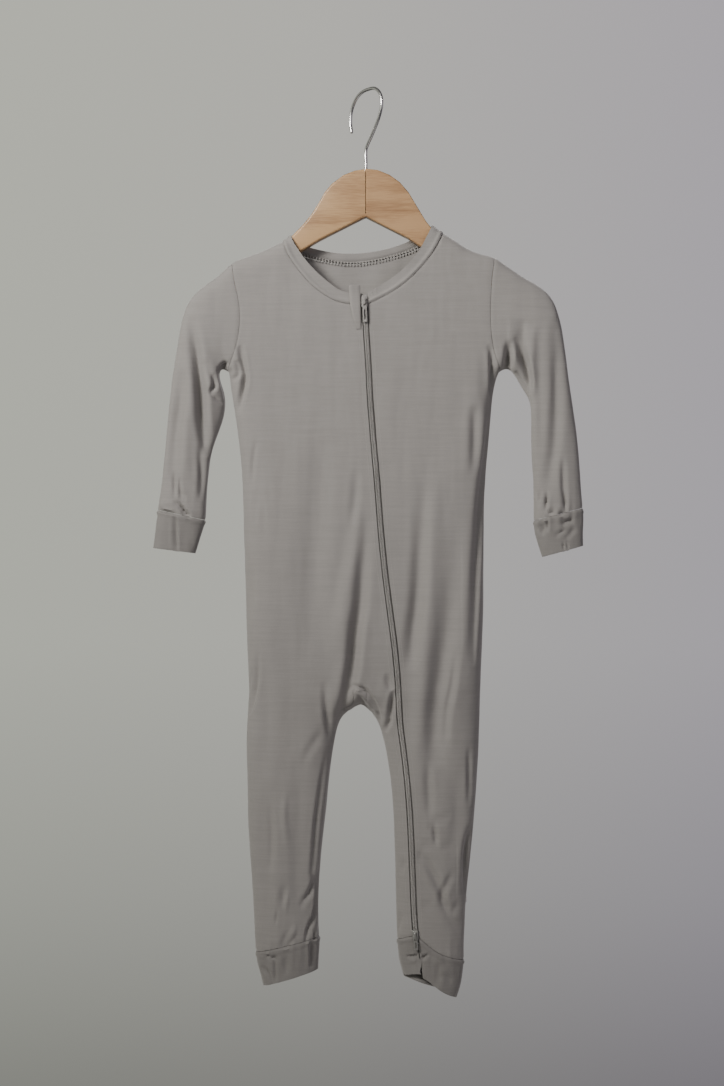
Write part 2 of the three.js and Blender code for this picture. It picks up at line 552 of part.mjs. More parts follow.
// Neckband: continues the neck columns to the free edge
const BAND_SHARES = [0.5, 1];
const neckEdgeFront = frontNeckLine(NECK_EDGE);
const neckEdgeBack = backNeckLine(NECK_EDGE);
const frontNeckFrom = SHOULDER_RIGHT_STEPS;
const frontNeckTo = FRONT_STEPS - SHOULDER_LEFT_STEPS;
const backNeckFrom = SHOULDER_LEFT_STEPS;
const backNeckTo = BACK_STEPS - SHOULDER_RIGHT_STEPS;
const bandFront = [yokeFront.at(-1).slice(frontNeckFrom, frontNeckTo + 1)];
const bandBack = [yokeBack.at(-1).slice(backNeckFrom, backNeckTo + 1)];
for (const share of BAND_SHARES) {
  const front = neckEdgeFront.map((edge, i) => {
    const seam = frontTops[frontNeckFrom + i];
    return yokePoint("front", mix(seam[0], edge[0], share), mix(seam[1], edge[1], share), 0);
  });
  const back = neckEdgeBack.map((edge, i) => {
    if (i === 0) return front.at(-1);
    if (i === neckEdgeBack.length - 1) return front[0];
    const seam = backTops[backNeckFrom + i];
    return yokePoint("back", mix(seam[0], edge[0], share), mix(seam[1], edge[1], share), 0);
  });
  const gap = NECK_STEPS + CENTRE_STEPS;
  joinRows(bandFront.at(-1), front, (i) => (i === gap ? "zip_gap" : "neckband"));
  joinRows(bandBack.at(-1), back, () => "neckband");
  bandFront.push(front);
  bandBack.push(back);
}
for (const row of [...bandFront].reverse()) keepZipRow(row, NECK_STEPS + CENTRE_STEPS);
for (const row of [...yokeFront].reverse().slice(1)) keepZipRow(row, ZIP_COLUMN);
for (const ring of bodyRings.slice(1)) keepZipRow(ring.front, ZIP_COLUMN);

// Legs
/** Height of a leg row at a column, drawn up near the zip end. */
function legHeight(row, x) {
  const share = (x - row.outerX) / (row.innerX - row.outerX);
  const lift = row.lift ? row.lift * Math.exp(-(((x - row.zip) / ZIP_LIFT_REACH) ** 2)) : 0;
  return { flat: mix(row.outerZ, row.innerZ, share), lift };
}

/** Right leg row: front points from the outer fold to the inseam, back points the other way. */
function rightLegRow(row, innerPoint) {
  const shares = [];
  for (let i = 0; i <= RIGHT_STEPS; i += 1) shares.push(sideSpacing(i / RIGHT_STEPS, 1));
  const place = (side, share) => {
    const x = mix(row.outerX, row.innerX, share);
    const depth = side === "front" ? row.front : row.back;
    return tubePoint(side, x, legHeight(row, x).flat, row.outerX, row.innerX, depth);
  };
  const front = shares.slice(0, -1).map((share) => place("front", share));
  front.push(innerPoint ?? place("front", 1));
  const back = [...shares].reverse().slice(1, -1).map((share) => place("back", share));
  return { front, back: [front.at(-1), ...back, front[0]] };
}

/** Left leg row: front points from the inseam over the zip to the outer fold, and the back. */
function leftLegRow(row, opening, innerPoint) {
  const body = { right: row.innerX, middle: row.innerX, zip: row.zip, left: row.outerX };
  const frontXs = frontColumns(body, 1, opening).slice(RIGHT_STEPS);
  const backXs = backColumns({ ...body, middle: row.innerX }, 1).slice(0, LEFT_STEPS + 1);
  const place = (side, x) => {
    const depth = side === "front" ? row.front : row.back;
    const height = legHeight(row, x);
    const z = side === "front" ? height.flat + height.lift : height.flat;
    return tubePoint(side, x, z, row.innerX, row.outerX, depth);
  };
  const front = frontXs.map((x) => place("front", x));
  if (innerPoint !== undefined) front[0] = innerPoint;
  const back = backXs.slice(1, -1).map((x) => place("back", x));
  return { front, back: [front.at(-1), ...back, front[0]] };
}

const saddle = addPoint(RIGHT_LEG_ROWS[0].innerX, 0, RIGHT_LEG_ROWS[0].innerZ);
const rightLegRings = RIGHT_LEG_ROWS.map((row, i) => rightLegRow(row, i === 0 ? saddle : undefined));
const leftLegRings = LEFT_LEG_ROWS.map((row, i) => (
  leftLegRow(row, ZIP_OPENING_HALF, i === 0 ? saddle : undefined)
));

/** A crotch row: between the last body row and the first leg row, rounding in to the saddle. */
function crotchRow(upper, lower, share, legEnds) {
  const dip = 1 - Math.sqrt(1 - share * share);
  return upper.map((number, i) => {
    if (i === 0 && legEnds.keepFirst !== undefined) return legEnds.keepFirst;
    if (i === upper.length - 1 && legEnds.keepLast !== undefined) return legEnds.keepLast;
    const above = points[number];
    const below = points[lower[i]];
    return addPoint(
      mix(above.x, below.x, share), mix(above.y, below.y, dip), mix(above.z, below.z, share),
    );
  });
}

const crotchFront = [...rightLegRings[0].front, ...leftLegRings[0].front.slice(1)];
const crotchBack = [...leftLegRings[0].back, ...rightLegRings[0].back.slice(1)];
const crotchFronts = [bodyRings.at(-1).front];
const crotchBacks = [bodyRings.at(-1).back];
for (const share of CROTCH_SHARES) {
  const front = crotchRow(crotchFronts[0], crotchFront, share, {});
  const ends = { keepFirst: front.at(-1), keepLast: front[0] };
  crotchBacks.push(crotchRow(crotchBacks[0], crotchBack, share, ends));
  crotchFronts.push(front);
  keepZipRow(front, ZIP_COLUMN);
}
crotchFronts.push(crotchFront);
crotchBacks.push(crotchBack);
for (let i = 1; i < crotchFronts.length; i += 1) {
  const nearSaddle = i > 1;
  joinRows(crotchFronts[i], crotchFronts[i - 1], (column) => {
    const beside = column === RIGHT_STEPS - 1 || column === RIGHT_STEPS;
    return nearSaddle && beside ? "gusset" : frontPiece(column);
  });
  joinRows(crotchBacks[i], crotchBacks[i - 1], (column) => {
    const beside = column === LEFT_STEPS - 1 || column === LEFT_STEPS;
    return nearSaddle && beside ? "gusset" : "back";
  });
}
for (let i = 1; i < rightLegRings.length; i += 1) {
  const gusset = i === 1;
  joinRows(rightLegRings[i].front, rightLegRings[i - 1].front, (column) => (
    gusset && column === RIGHT_STEPS - 1 ? "gusset" : "front_right"
  ));
  joinRows(rightLegRings[i].back, rightLegRings[i - 1].back, (column) => (
    gusset && column === 0 ? "gusset" : "back"
  ));
  joinRows(leftLegRings[i].front, leftLegRings[i - 1].front, (column) => (
    gusset && column === 0 ? "gusset" : frontPiece(column + RIGHT_STEPS)
  ));
  joinRows(leftLegRings[i].back, leftLegRings[i - 1].back, (column) => (
    gusset && column === LEFT_STEPS - 1 ? "gusset" : "back"
  ));
}
for (const ring of leftLegRings) keepZipRow(ring.front, CENTRE_STEPS);

// Leg cuffs
let upperRing = rightLegRings.at(-1);
for (const row of RIGHT_LEG_CUFF_ROWS) {
  const ring = rightLegRow(row, undefined);
  joinRows(ring.front, upperRing.front, () => "leg_cuff_right");
  joinRows(ring.back, upperRing.back, () => "leg_cuff_right");
  upperRing = ring;
}
upperRing = leftLegRings.at(-1);
for (const row of LEFT_LEG_CUFF_ROWS) {
  const ring = leftLegRow(row, CUFF_SLIT_HALF, undefined);
  joinRows(ring.front, upperRing.front, (i) => (i === CENTRE_STEPS ? "slit_gap" : "leg_cuff_left"));
  joinRows(ring.back, upperRing.back, () => "leg_cuff_left");
  upperRing = ring;
}

// Sleeves and their cuffs
/** Ring points without a shape of their own: top fold, front, underside fold, back. */
function plainRing(row, count) {
  const list = [];
  for (let i = 0; i < count; i += 1) {
    const angle = (2 * Math.PI * i) / count;
    const share = (1 - Math.cos(angle)) / 2;
    const side = angle < Math.PI ? "front" : "back";
    const x = mix(row.outerX, row.innerX, share);
    const z = mix(row.outerZ, row.innerZ, share);
    const full = Math.abs(Math.sin(angle)) ** SLEEVE_SQUARENESS;
    const stand = (row.half - foldDepth(side, x, z)) * full;
    list.push(new THREE.Vector3(x, side === "front" ? -stand : stand, z));
  }
  return list;
}

/** Builds one sleeve with its cuff on an armhole; way is -1 for the right one. */
function buildSleeve(armhole, rows, cuffRows, names, way) {
  const count = armhole.length;
  const own = plainRing(rows[0], count).map((plain, i) => points[armhole[i]].clone().sub(plain));
  let upper = armhole;
  [...rows.slice(1), ...cuffRows].forEach((row, index) => {
    const kept = ARMHOLE_SHAPE_KEPT[index + 1] ?? 0;
    const ring = plainRing(row, count).map((plain, i) => {
      const place = plain.addScaledVector(own[i], kept);
      return addPoint(place.x, place.y, place.z);
    });
    const piece = index < rows.length - 1 ? names.sleeve : names.cuff;
    for (let i = 0; i < count; i += 1) {
      const next = (i + 1) % count;
      if (way < 0) addQuad(piece, upper[i], ring[i], ring[next], upper[next]);
      else addQuad(piece, upper[i], upper[next], ring[next], ring[i]);
    }
    upper = ring;
  });
}

const rightLoop = [];
const leftLoop = [];
for (let row = YOKE_ROWS; row >= 0; row -= 1) {
  rightLoop.push(yokeFront[row][0]);
  leftLoop.push(yokeFront[row][FRONT_STEPS]);
}
for (let row = 1; row < YOKE_ROWS; row += 1) {
  rightLoop.push(yokeBack[row][BACK_STEPS]);
  leftLoop.push(yokeBack[row][0]);
}
buildSleeve(
  rightLoop, RIGHT_SLEEVE_ROWS, RIGHT_SLEEVE_CUFF_ROWS,
  { sleeve: "sleeve_right", cuff: "sleeve_cuff_right" }, -1,
);
buildSleeve(
  leftLoop, LEFT_SLEEVE_ROWS, LEFT_SLEEVE_CUFF_ROWS,
  { sleeve: "sleeve_left", cuff: "sleeve_cuff_left" }, 1,
);

// Outward direction of the cloth at every point
const normals = points.map(() => new THREE.Vector3());
for (const { corners } of quads) {
  const [a, b, c, d] = corners.map((number) => points[number]);
  const normal = c.clone().sub(a).cross(d.clone().sub(b));
  for (const number of corners) normals[number].add(normal);
}
for (const normal of normals) normal.normalize();

// Solids

const group = new THREE.Group();
group.name = "onesie_pajama_on_hanger";

const COLOURS = { cloth: 0x9b9691, zip: 0x8e8985, metal: 0xb9b9bd, wood: 0xb9976f };

/** Adds one named solid to the part. */
function addSolid(name, geometry, colour, metalness = 0) {
  geometry.computeVertexNormals();
  const material = new THREE.MeshStandardMaterial({ color: colour, roughness: 0.8, metalness });
  const mesh = new THREE.Mesh(geometry, material);
  mesh.name = name;
  group.add(mesh);
}

/** Geometry from a list of points and a list of triangles. */
function meshGeometry(corners, triangles) {
  const geometry = new THREE.BufferGeometry();
  geometry.setAttribute("position", new THREE.Float32BufferAttribute(corners.flatMap((p) => p.toArray()), 3));
  geometry.setIndex(triangles.flat());
  return geometry;
}

/**
 * A closed wall of cloth: patches of outer points, and the same points moved in. Edge walls are
 * split from the lower number in order, so that two sewn pieces have the same split at a seam.
 */
function shell(outer, inner, patches, order = outer.map((_, i) => i)) {
  const count = outer.length;
  const triangles = [];
  const edges = new Map();
  for (const [a, b, c, d] of patches) {
    const acute = outer[a].distanceTo(outer[c]) < outer[b].distanceTo(outer[d]);
    const pair = acute ? [[a, b, c], [a, c, d]] : [[a, b, d], [b, c, d]];
    for (const [p, q, r] of pair) {
      triangles.push([p, q, r], [p + count, r + count, q + count]);
    }
    const ring = [a, b, c, d];
    ring.forEach((from, i) => edges.set(`${from},${ring[(i + 1) % 4]}`, [from, ring[(i + 1) % 4]]));
  }
  for (const [from, to] of edges.values()) {
    if (edges.has(`${to},${from}`)) continue;
    if (order[from] < order[to]) {
      triangles.push([to, from, to + count], [from, from + count, to + count]);
    } else {
      triangles.push([to, from, from + count], [to, from + count, to + count]);
    }
  }
  return meshGeometry([...outer, ...inner], triangles);
}

/** Owners of every edge, to tell a sewn edge from a free one. */
const edgeOwners = new Map();
for (const { piece, corners } of quads) {
  corners.forEach((from, i) => edgeOwners.set(`${from},${corners[(i + 1) % 4]}`, piece));
}

/** Builds one piece of the garment: its patches, drawn back from the seams, with a wall. */
function clothPiece(name, wall) {
  const own = quads.filter((quad) => quad.piece === name);
  const numbers = [...new Set(own.flatMap((quad) => quad.corners))];
  const index = new Map(numbers.map((number, i) => [number, i]));
  const drawn = numbers.map(() => []);
  for (const { corners } of own) {
    corners.forEach((from, i) => {
      const to = corners[(i + 1) % 4];
      const neighbour = edgeOwners.get(`${to},${from}`);
      if (neighbour === undefined || neighbour === name || neighbour.endsWith("_gap")) return;
      const direction = points[to].clone().sub(points[from]);
      const inward = normals[from].clone().add(normals[to]).cross(direction).normalize();
      drawn[index.get(from)].push(inward);
      drawn[index.get(to)].push(inward);
    });
  }
  const outer = numbers.map((number, i) => {
    const place = points[number].clone();
    if (drawn[i].length === 0) return place;
    const sum = drawn[i].reduce((total, way) => total.add(way), new THREE.Vector3());
    const way = sum.normalize();
    const slant = Math.max(0.4, Math.min(...drawn[i].map((inward) => way.dot(inward))));
    return place.addScaledVector(way, SEAM_GAP / 2 / slant);
  });
  const inner = outer.map((place, i) => (
    place.clone().addScaledVector(normals[numbers[i]], -wall)
  ));
  const patches = own.map((quad) => quad.corners.map((number) => index.get(number)));
  addSolid(name, shell(outer, inner, patches, numbers), COLOURS.cloth);
}

for (const name of ["front_right", "front_left", "back", "gusset", "sleeve_right", "sleeve_left"]) {
  clothPiece(name, PANEL_WALL);
}
for (const name of ["sleeve_cuff_right", "sleeve_cuff_left", "leg_cuff_right", "leg_cuff_left"]) {
  clothPiece(name, CUFF_WALL);
}
clothPiece("neckband", BAND_WALL);

// Zip: everything on it is placed from the panel's own points
/** A point of one row beside the zip, across from its middle and out from the cloth. */
function rowPoint(row, across, out) {
  const list = [...row.right, ...row.left];
  const middle = (points[row.right.at(-1)].x + points[row.left[0]].x) / 2;
  const x = middle + across;
  let i = 0;
  while (i < list.length - 2 && points[list[i + 1]].x < x) i += 1;
  const from = points[list[i]];
  const to = points[list[i + 1]];
  const share = (x - from.x) / (to.x - from.x);
  const normal = normals[list[i]].clone().lerp(normals[list[i + 1]], clamp01(share)).normalize();
  return from.clone().lerp(to, share).addScaledVector(normal, out);
}

/** A point along the zip at a height. */
function zipPoint(z, across, out) {
  const heights = zipRows.map((row) => rowPoint(row, 0, 0).z);
  let i = 0;
  while (i < heights.length - 2 && heights[i + 1] > z) i += 1;
  const share = (z - heights[i]) / (heights[i + 1] - heights[i]);
  return rowPoint(zipRows[i], across, out).lerp(rowPoint(zipRows[i + 1], across, out), share);
}

/** A strip along the zip: its upper and lower sides as columns of across and out. */
function zipStrip(heights, upper, lower) {
  const outer = [];
  const inner = [];
  const patches = [];
  heights.forEach((z, row) => {
    upper.forEach((column) => outer.push(zipPoint(z, column.across, column.out)));
    lower.forEach((column) => inner.push(zipPoint(z, column.across, column.out)));
    if (row === 0) return;
    for (let i = 0; i < upper.length - 1; i += 1) {
      const above = (row - 1) * upper.length + i;
      const below = row * upper.length + i;
      patches.push([below, below + 1, above + 1, above]);
    }
  });
  return shell(outer, inner, patches);
}

/** Heights of the rows beside the zip between two limits, with both limits. */
function zipHeights(top, bottom) {
  const rows = zipRows.map((row) => rowPoint(row, 0, 0).z);
  return [top, ...rows.filter((z) => z < top - 2 && z > bottom + 2), bottom];
}

const TAPE_HEIGHTS = zipHeights(-184.2, -760);
const COIL_HEIGHTS = zipHeights(-187.6, -757.5);
for (const [side, way] of [["right", -1], ["left", 1]]) {
  const tapeColumns = [TAPE_OUTER, (TAPE_OUTER + TAPE_INNER) / 2, TAPE_INNER];
  const coilColumns = [COIL_OUTER, (COIL_OUTER + COIL_INNER) / 2, COIL_INNER];
  const ordered = (columns) => (way < 0 ? columns : [...columns].reverse());
  const tape = (out) => ordered(tapeColumns).map((across) => ({ across: across * way, out }));
  const crest = ordered(coilColumns).map((across, i) => (
    { across: across * way, out: i === 1 ? COIL_CREST : 0.2 }
  ));
  const root = ordered(coilColumns).map((across) => ({ across: across * way, out: COIL_BOTTOM }));
  addSolid(`zip_tape_${side}`, zipStrip(TAPE_HEIGHTS, tape(TAPE_TOP), tape(TAPE_BOTTOM)), COLOURS.zip);
  addSolid(`zip_coil_${side}`, zipStrip(COIL_HEIGHTS, crest, root), COLOURS.zip);
}

// Sliders and pull tabs, made in the zip's own directions and then laid on it
/** A box as a solid for cutting and joining, from its lowest to its highest corner. */
function box(low, high) {
  const size = high.map((value, i) => value - low[i]);
  return wasm.Manifold.cube(size).translate(low);
}

/** Geometry of a finished solid. */
function solidGeometry(solid) {
  const mesh = solid.getMesh();
  const corners = [];
  for (let i = 0; i < mesh.numVert; i += 1) {
    const at = i * mesh.numProp;
    corners.push(new THREE.Vector3().fromArray(mesh.vertProperties, at));
  }
  const triangles = [];
  for (let i = 0; i < mesh.numTri; i += 1) triangles.push([...mesh.triVerts.slice(3 * i, 3 * i + 3)]);
  return meshGeometry(corners, triangles);
}

/** An outline of [across, up] points given a thickness from out to out. */
function plate(outline, from, to) {
  return wasm.Manifold.extrude([outline], to - from).rotate([90, 0, 0]).translate([0, -from, 0]);
}

/** Frame of directions on the zip at a height: across, inwards and up. */
function zipFrame(z) {
  const up = zipPoint(z + 4, 0, 0).sub(zipPoint(z - 4, 0, 0)).normalize();
  const side = zipPoint(z, 2, 0).sub(zipPoint(z, -2, 0)).normalize();
  const inward = up.clone().cross(side).normalize();
  const across = inward.clone().cross(up).normalize();
  return new THREE.Matrix4().makeBasis(across, inward, up).setPosition(zipPoint(z, 0, 0));
}

/** Slider body: two plates, side walls, the wedge between the coils and the bridge. */
function sliderBody(slider) {
  const half = SLIDER_WIDTH / 2;
  const end = slider.length / 2;
  const nose = end * slider.nose;
  const cornerX = half - SHIELD_CORNER;
  const cornerZ = end - SHIELD_CORNER;
  const shield = [
    [-cornerX, -end], [cornerX, -end], [half, -cornerZ], [half, cornerZ],
    [cornerX, end], [-cornerX, end], [-half, cornerZ], [-half, -cornerZ],
  ];
  const front = plate(shield, SLIDER_FRONT, SLIDER_FRONT + SLIDER_PLATE);
  const back = plate(shield, SLIDER_BACK - SLIDER_PLATE, SLIDER_BACK);
  const behind = -SLIDER_FRONT - 0.1;
  const wedgeFrom = Math.min(nose, nose - WEDGE.length * slider.nose);
  const wedge = box(
    [-WEDGE.half, behind, wedgeFrom],
    [WEDGE.half, -SLIDER_BACK + 0.1, wedgeFrom + WEDGE.length],
  );
  const wallEnd = end - SIDE_WALL.short;
  const walls = [-half, half - SIDE_WALL.thick].map((from) => (
    box([from, behind, -wallEnd], [from + SIDE_WALL.thick, SIDE_WALL.inner, wallEnd])
  ));
  const face = -(SLIDER_FRONT + SLIDER_PLATE);
  const [outer, under] = [face - BRIDGE.high, face - BRIDGE.low];
  const bar = box([-BRIDGE.half, outer, -BRIDGE.reach], [BRIDGE.half, under, BRIDGE.reach]);
  const feet = [-BRIDGE.reach, BRIDGE.reach - BRIDGE.foot].map((from) => (
    box([-BRIDGE.half, outer, from], [BRIDGE.half, face + 0.1, from + BRIDGE.foot])
  ));
  return wasm.Manifold.union([front, back, wedge, ...walls, bar, ...feet]);
}

/** Pull tab hanging from the slider's bridge, its cross bar under the bridge. */
function sliderTab(slider) {
  const half = TAB_WIDTH / 2;
  const face = SLIDER_FRONT + SLIDER_PLATE + TAB_STANDOFF;
  const end = -slider.tabLength;
  const outline = [
    [-half, 0.1], [-half, end + TAB_CORNER.up], [-half + TAB_CORNER.across, end],
    [half - TAB_CORNER.across, end], [half, end + TAB_CORNER.up], [half, 0.1],
  ];
  const window = [
    [-TAB_WINDOW.half, TAB_WINDOW.top], [-TAB_WINDOW.half, TAB_WINDOW.bottom],
    [TAB_WINDOW.half, TAB_WINDOW.bottom], [TAB_WINDOW.half, TAB_WINDOW.top],
  ];
  const body = plate(outline, face, face + TAB_THICK);
  return body.subtract(plate(window, face - 1, face + TAB_THICK + 1));
}

for (const [place, slider] of Object.entries(SLIDERS)) {
  const frame = zipFrame(slider.z);
  const metalness = place === "bottom" ? 0.8 : 0.2;
  const colour = place === "bottom" ? COLOURS.metal : COLOURS.zip;
  const body = solidGeometry(sliderBody(slider)).applyMatrix4(frame);
  const tab = solidGeometry(sliderTab(slider)).applyMatrix4(frame);
  addSolid(`slider_${place}`, body, colour, metalness);
  addSolid(`pull_${place}`, tab, colour, metalness);
}

// Guard: a folded strip of jersey over the top of the zip's right edge
const guardOuter = [];
const guardInner = [];
const guardPatches = [];
GUARD_ROWS.forEach((row, index) => {
  for (let i = 0; i <= 3; i += 1) {
    const x = mix(row.from, row.to, i / 3);
    const onCloth = Math.min(row.z, -184);
    const base = zipPoint(onCloth, x - zipPoint(onCloth, 0, 0).x, 0);
    const lean = Math.max(0, row.z + 184) * 0.1;
    guardInner.push(new THREE.Vector3(x, base.y - GUARD_STANDOFF - lean, row.z));
    guardOuter.push(new THREE.Vector3(x, base.y - GUARD_STANDOFF - GUARD_WALL - lean, row.z));
    if (index > 0 && i < 3) {
      const below = index * 4 + i;
      guardPatches.push([below, below + 1, below - 3, below - 4]);
    }
  }
});
addSolid("zip_guard", shell(guardOuter, guardInner, guardPatches), COLOURS.cloth);

// Side label: a tiny folded tag standing out of the left side seam
const labelLow = [LABEL.x, -LABEL.thick / 2, LABEL.z - LABEL.tall / 2];
const labelHigh = [LABEL.x + LABEL.out, LABEL.thick / 2, LABEL.z + LABEL.tall / 2];
addSolid("side_label", solidGeometry(box(labelLow, labelHigh)), 0xcfcac4);

// Hanger arms: eased sections joined up, cut off at the glue line and bored for the hook
/** Corner points of an eased upright section, going round once. */
function woodSection(section) {
  const middle = (section.top + section.bottom) / 2;
  const tall = (section.top - section.bottom) / 2;
  const ease = Math.min(WOOD_EASE, tall * 0.9, section.half * 0.9);
  const list = [];
  for (let corner = 0; corner < 4; corner += 1) {
    for (let step = 0; step <= 2; step += 1) {
      const angle = (corner + step / 2) * (Math.PI / 2);
      const right = corner === 0 || corner === 3 ? 1 : -1;
      const high = corner < 2 ? 1 : -1;
      const y = right * (section.half - ease) + ease * Math.cos(angle);
      const z = middle + high * (tall - ease) + ease * Math.sin(angle);
      list.push(new THREE.Vector3(section.x, y, z));
    }
  }
  return list;
}

/** Solid for cutting and joining from a closed geometry. */
function toSolid(geometry) {
  const position = geometry.getAttribute("position");
  const seen = new Map();
  const corners = [];
  const triangles = [];
  const order = geometry.index ? [...geometry.index.array] : [...Array(position.count).keys()];
  for (const number of order) {
    const place = [position.getX(number), position.getY(number), position.getZ(number)];
    const key = place.map((value) => Math.round(value * 1e4)).join(",");
    if (!seen.has(key)) {
      seen.set(key, corners.length / 3);
      corners.push(...place);
    }
    triangles.push(seen.get(key));
  }
  const whole = [];
  for (let i = 0; i < triangles.length; i += 3) {
    const [a, b, c] = triangles.slice(i, i + 3);
    if (a !== b && b !== c && a !== c) whole.push(a, b, c);
  }
  return new wasm.Manifold(new wasm.Mesh({
    numProp: 3, vertProperties: Float32Array.from(corners), triVerts: Uint32Array.from(whole),
  }));
}

/** One wooden arm from its sections; way is -1 for the right one. */
function hangerArm(sections, way) {
  const rings = sections.map(woodSection);
  const count = rings[0].length;
  const triangles = [];
  const add = (a, b, c) => triangles.push(way < 0 ? [a, b, c] : [a, c, b]);
  for (let i = 1; i < count - 1; i += 1) {
    const last = (rings.length - 1) * count;
    add(0, i, i + 1);
    add(last, last + i + 1, last + i);
  }
  for (let row = 1; row < rings.length; row += 1) {
    for (let i = 0; i < count; i += 1) {
      const next = (i + 1) % count;
      const [a, b] = [(row - 1) * count + i, (row - 1) * count + next];
      const [c, d] = [row * count + next, row * count + i];
      add(a, d, c);
      add(a, c, b);
    }
  }
  const bore = wasm.Manifold.cylinder(60, SOCKET / 2, SOCKET / 2, 24).translate([0, 0, SOCKET_BOTTOM]);
  return toSolid(meshGeometry(rings.flat(), triangles)).subtract(bore);
}

addSolid("hanger_arm_right", solidGeometry(hangerArm(RIGHT_ARM, -1)), COLOURS.wood);
addSolid("hanger_arm_left", solidGeometry(hangerArm(LEFT_ARM, 1)), COLOURS.wood);

// Hook: round wire along its centre line
const turn = THREE.MathUtils.degToRad(HOOK_TURN);
const hookCurve = new THREE.CatmullRomCurve3(HOOK_PATH.map((step) => (
  new THREE.Vector3(step.out * Math.sin(turn), -step.out * Math.cos(turn), step.z)
)), false, "centripetal");
const wireOutline = new THREE.Shape().absarc(0, 0, WIRE / 2, 0, 2 * Math.PI, false);
const hook = new THREE.ExtrudeGeometry(wireOutline, {
  steps: 32, bevelEnabled: false, extrudePath: hookCurve, curveSegments: 6,
});
addSolid("hook", solidGeometry(toSolid(hook)), COLOURS.metal, 1);

export default group;
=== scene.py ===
"""Onesie pajama on a wooden hanger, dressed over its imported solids.

Metres, +Z up, front towards -Y. Right and left are the wearer's: the right side is at -X.
Tables of sizes are in millimetres and are turned to metres where a piece is made.
"""
import json
import logging
import math
from dataclasses import dataclass, field
from enum import Enum
from typing import Callable, NamedTuple, Optional, Sequence

import bpy
import numpy as np
from bpy.types import Material, NodeSocket, Object
from mathutils import Matrix, Vector, noise
from mathutils.bvhtree import BVHTree
from mathutils.kdtree import KDTree

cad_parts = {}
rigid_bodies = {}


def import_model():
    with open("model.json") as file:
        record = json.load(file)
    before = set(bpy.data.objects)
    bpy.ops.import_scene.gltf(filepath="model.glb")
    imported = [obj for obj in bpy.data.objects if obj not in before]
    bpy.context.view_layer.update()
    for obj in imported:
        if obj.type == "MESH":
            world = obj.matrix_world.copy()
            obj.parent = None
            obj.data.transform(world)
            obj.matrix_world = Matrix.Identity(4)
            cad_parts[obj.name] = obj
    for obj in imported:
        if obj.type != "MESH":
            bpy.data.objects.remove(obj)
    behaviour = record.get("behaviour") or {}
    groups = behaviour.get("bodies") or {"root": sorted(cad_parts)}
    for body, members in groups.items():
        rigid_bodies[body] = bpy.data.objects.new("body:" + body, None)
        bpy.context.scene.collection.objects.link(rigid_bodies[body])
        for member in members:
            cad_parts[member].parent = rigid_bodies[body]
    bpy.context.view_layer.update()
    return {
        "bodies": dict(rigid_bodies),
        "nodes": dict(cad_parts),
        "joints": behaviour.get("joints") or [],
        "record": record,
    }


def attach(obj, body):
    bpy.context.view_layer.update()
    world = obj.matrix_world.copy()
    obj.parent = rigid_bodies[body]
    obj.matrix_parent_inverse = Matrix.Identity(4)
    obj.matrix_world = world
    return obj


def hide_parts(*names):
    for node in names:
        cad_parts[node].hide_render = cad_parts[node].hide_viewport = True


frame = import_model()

BODY = "garment_and_hanger"
MM = 0.001
LOG = logging.getLogger("onesie_pajama")

Point = tuple[float, float]
Line = Sequence[Point]
Triple = tuple[float, float, float]
Numbers = tuple[list[int], list[int]]


class Side(Enum):
    """Front or back of the garment: the sign of Y on that side."""

    FRONT = -1
    BACK = 1


class Piece(Enum):
    """Cut and sewn pieces of cloth, in the order of their numbers in the whole garment."""

    FRONT_RIGHT = "front_right"
    FRONT_LEFT = "front_left"
    BACK = "back"
    GUSSET = "gusset"
    SLEEVE_RIGHT = "sleeve_right"
    SLEEVE_LEFT = "sleeve_left"
    SLEEVE_CUFF_RIGHT = "sleeve_cuff_right"
    SLEEVE_CUFF_LEFT = "sleeve_cuff_left"
    LEG_CUFF_RIGHT = "leg_cuff_right"
    LEG_CUFF_LEFT = "leg_cuff_left"
    NECKBAND = "neckband"
    OPEN = "open"


PIECES = list(Piece)


class BodyRow(NamedTuple):
    """One row of the body: height, side folds, middle line, zip, and both depths."""

    z: float
    right: float
    middle: float
    zip: float
    left: float
    front: float
    back: float


class LegRow(NamedTuple):
    """One row of a leg: outer and inner folds, both depths, the zip and how far it lifts."""

    outer_x: float
    outer_z: float
    inner_x: float
    inner_z: float
    front: float
    back: float
    zip: float = 0.0
    lift: float = 0.0


class SleeveRow(NamedTuple):
    """One ring of a sleeve: top and underside folds and half the flattened thickness."""

    outer_x: float
    outer_z: float
    inner_x: float
    inner_z: float
    half: float


@dataclass(frozen=True)
class Crease:
    """A soft trough pressed into the cloth along a line, or a ridge where depth is negative."""

    side: Side
    line: Line
    width: float
    depth: float
    peak: float = 0.5
    lean: float = 0.0


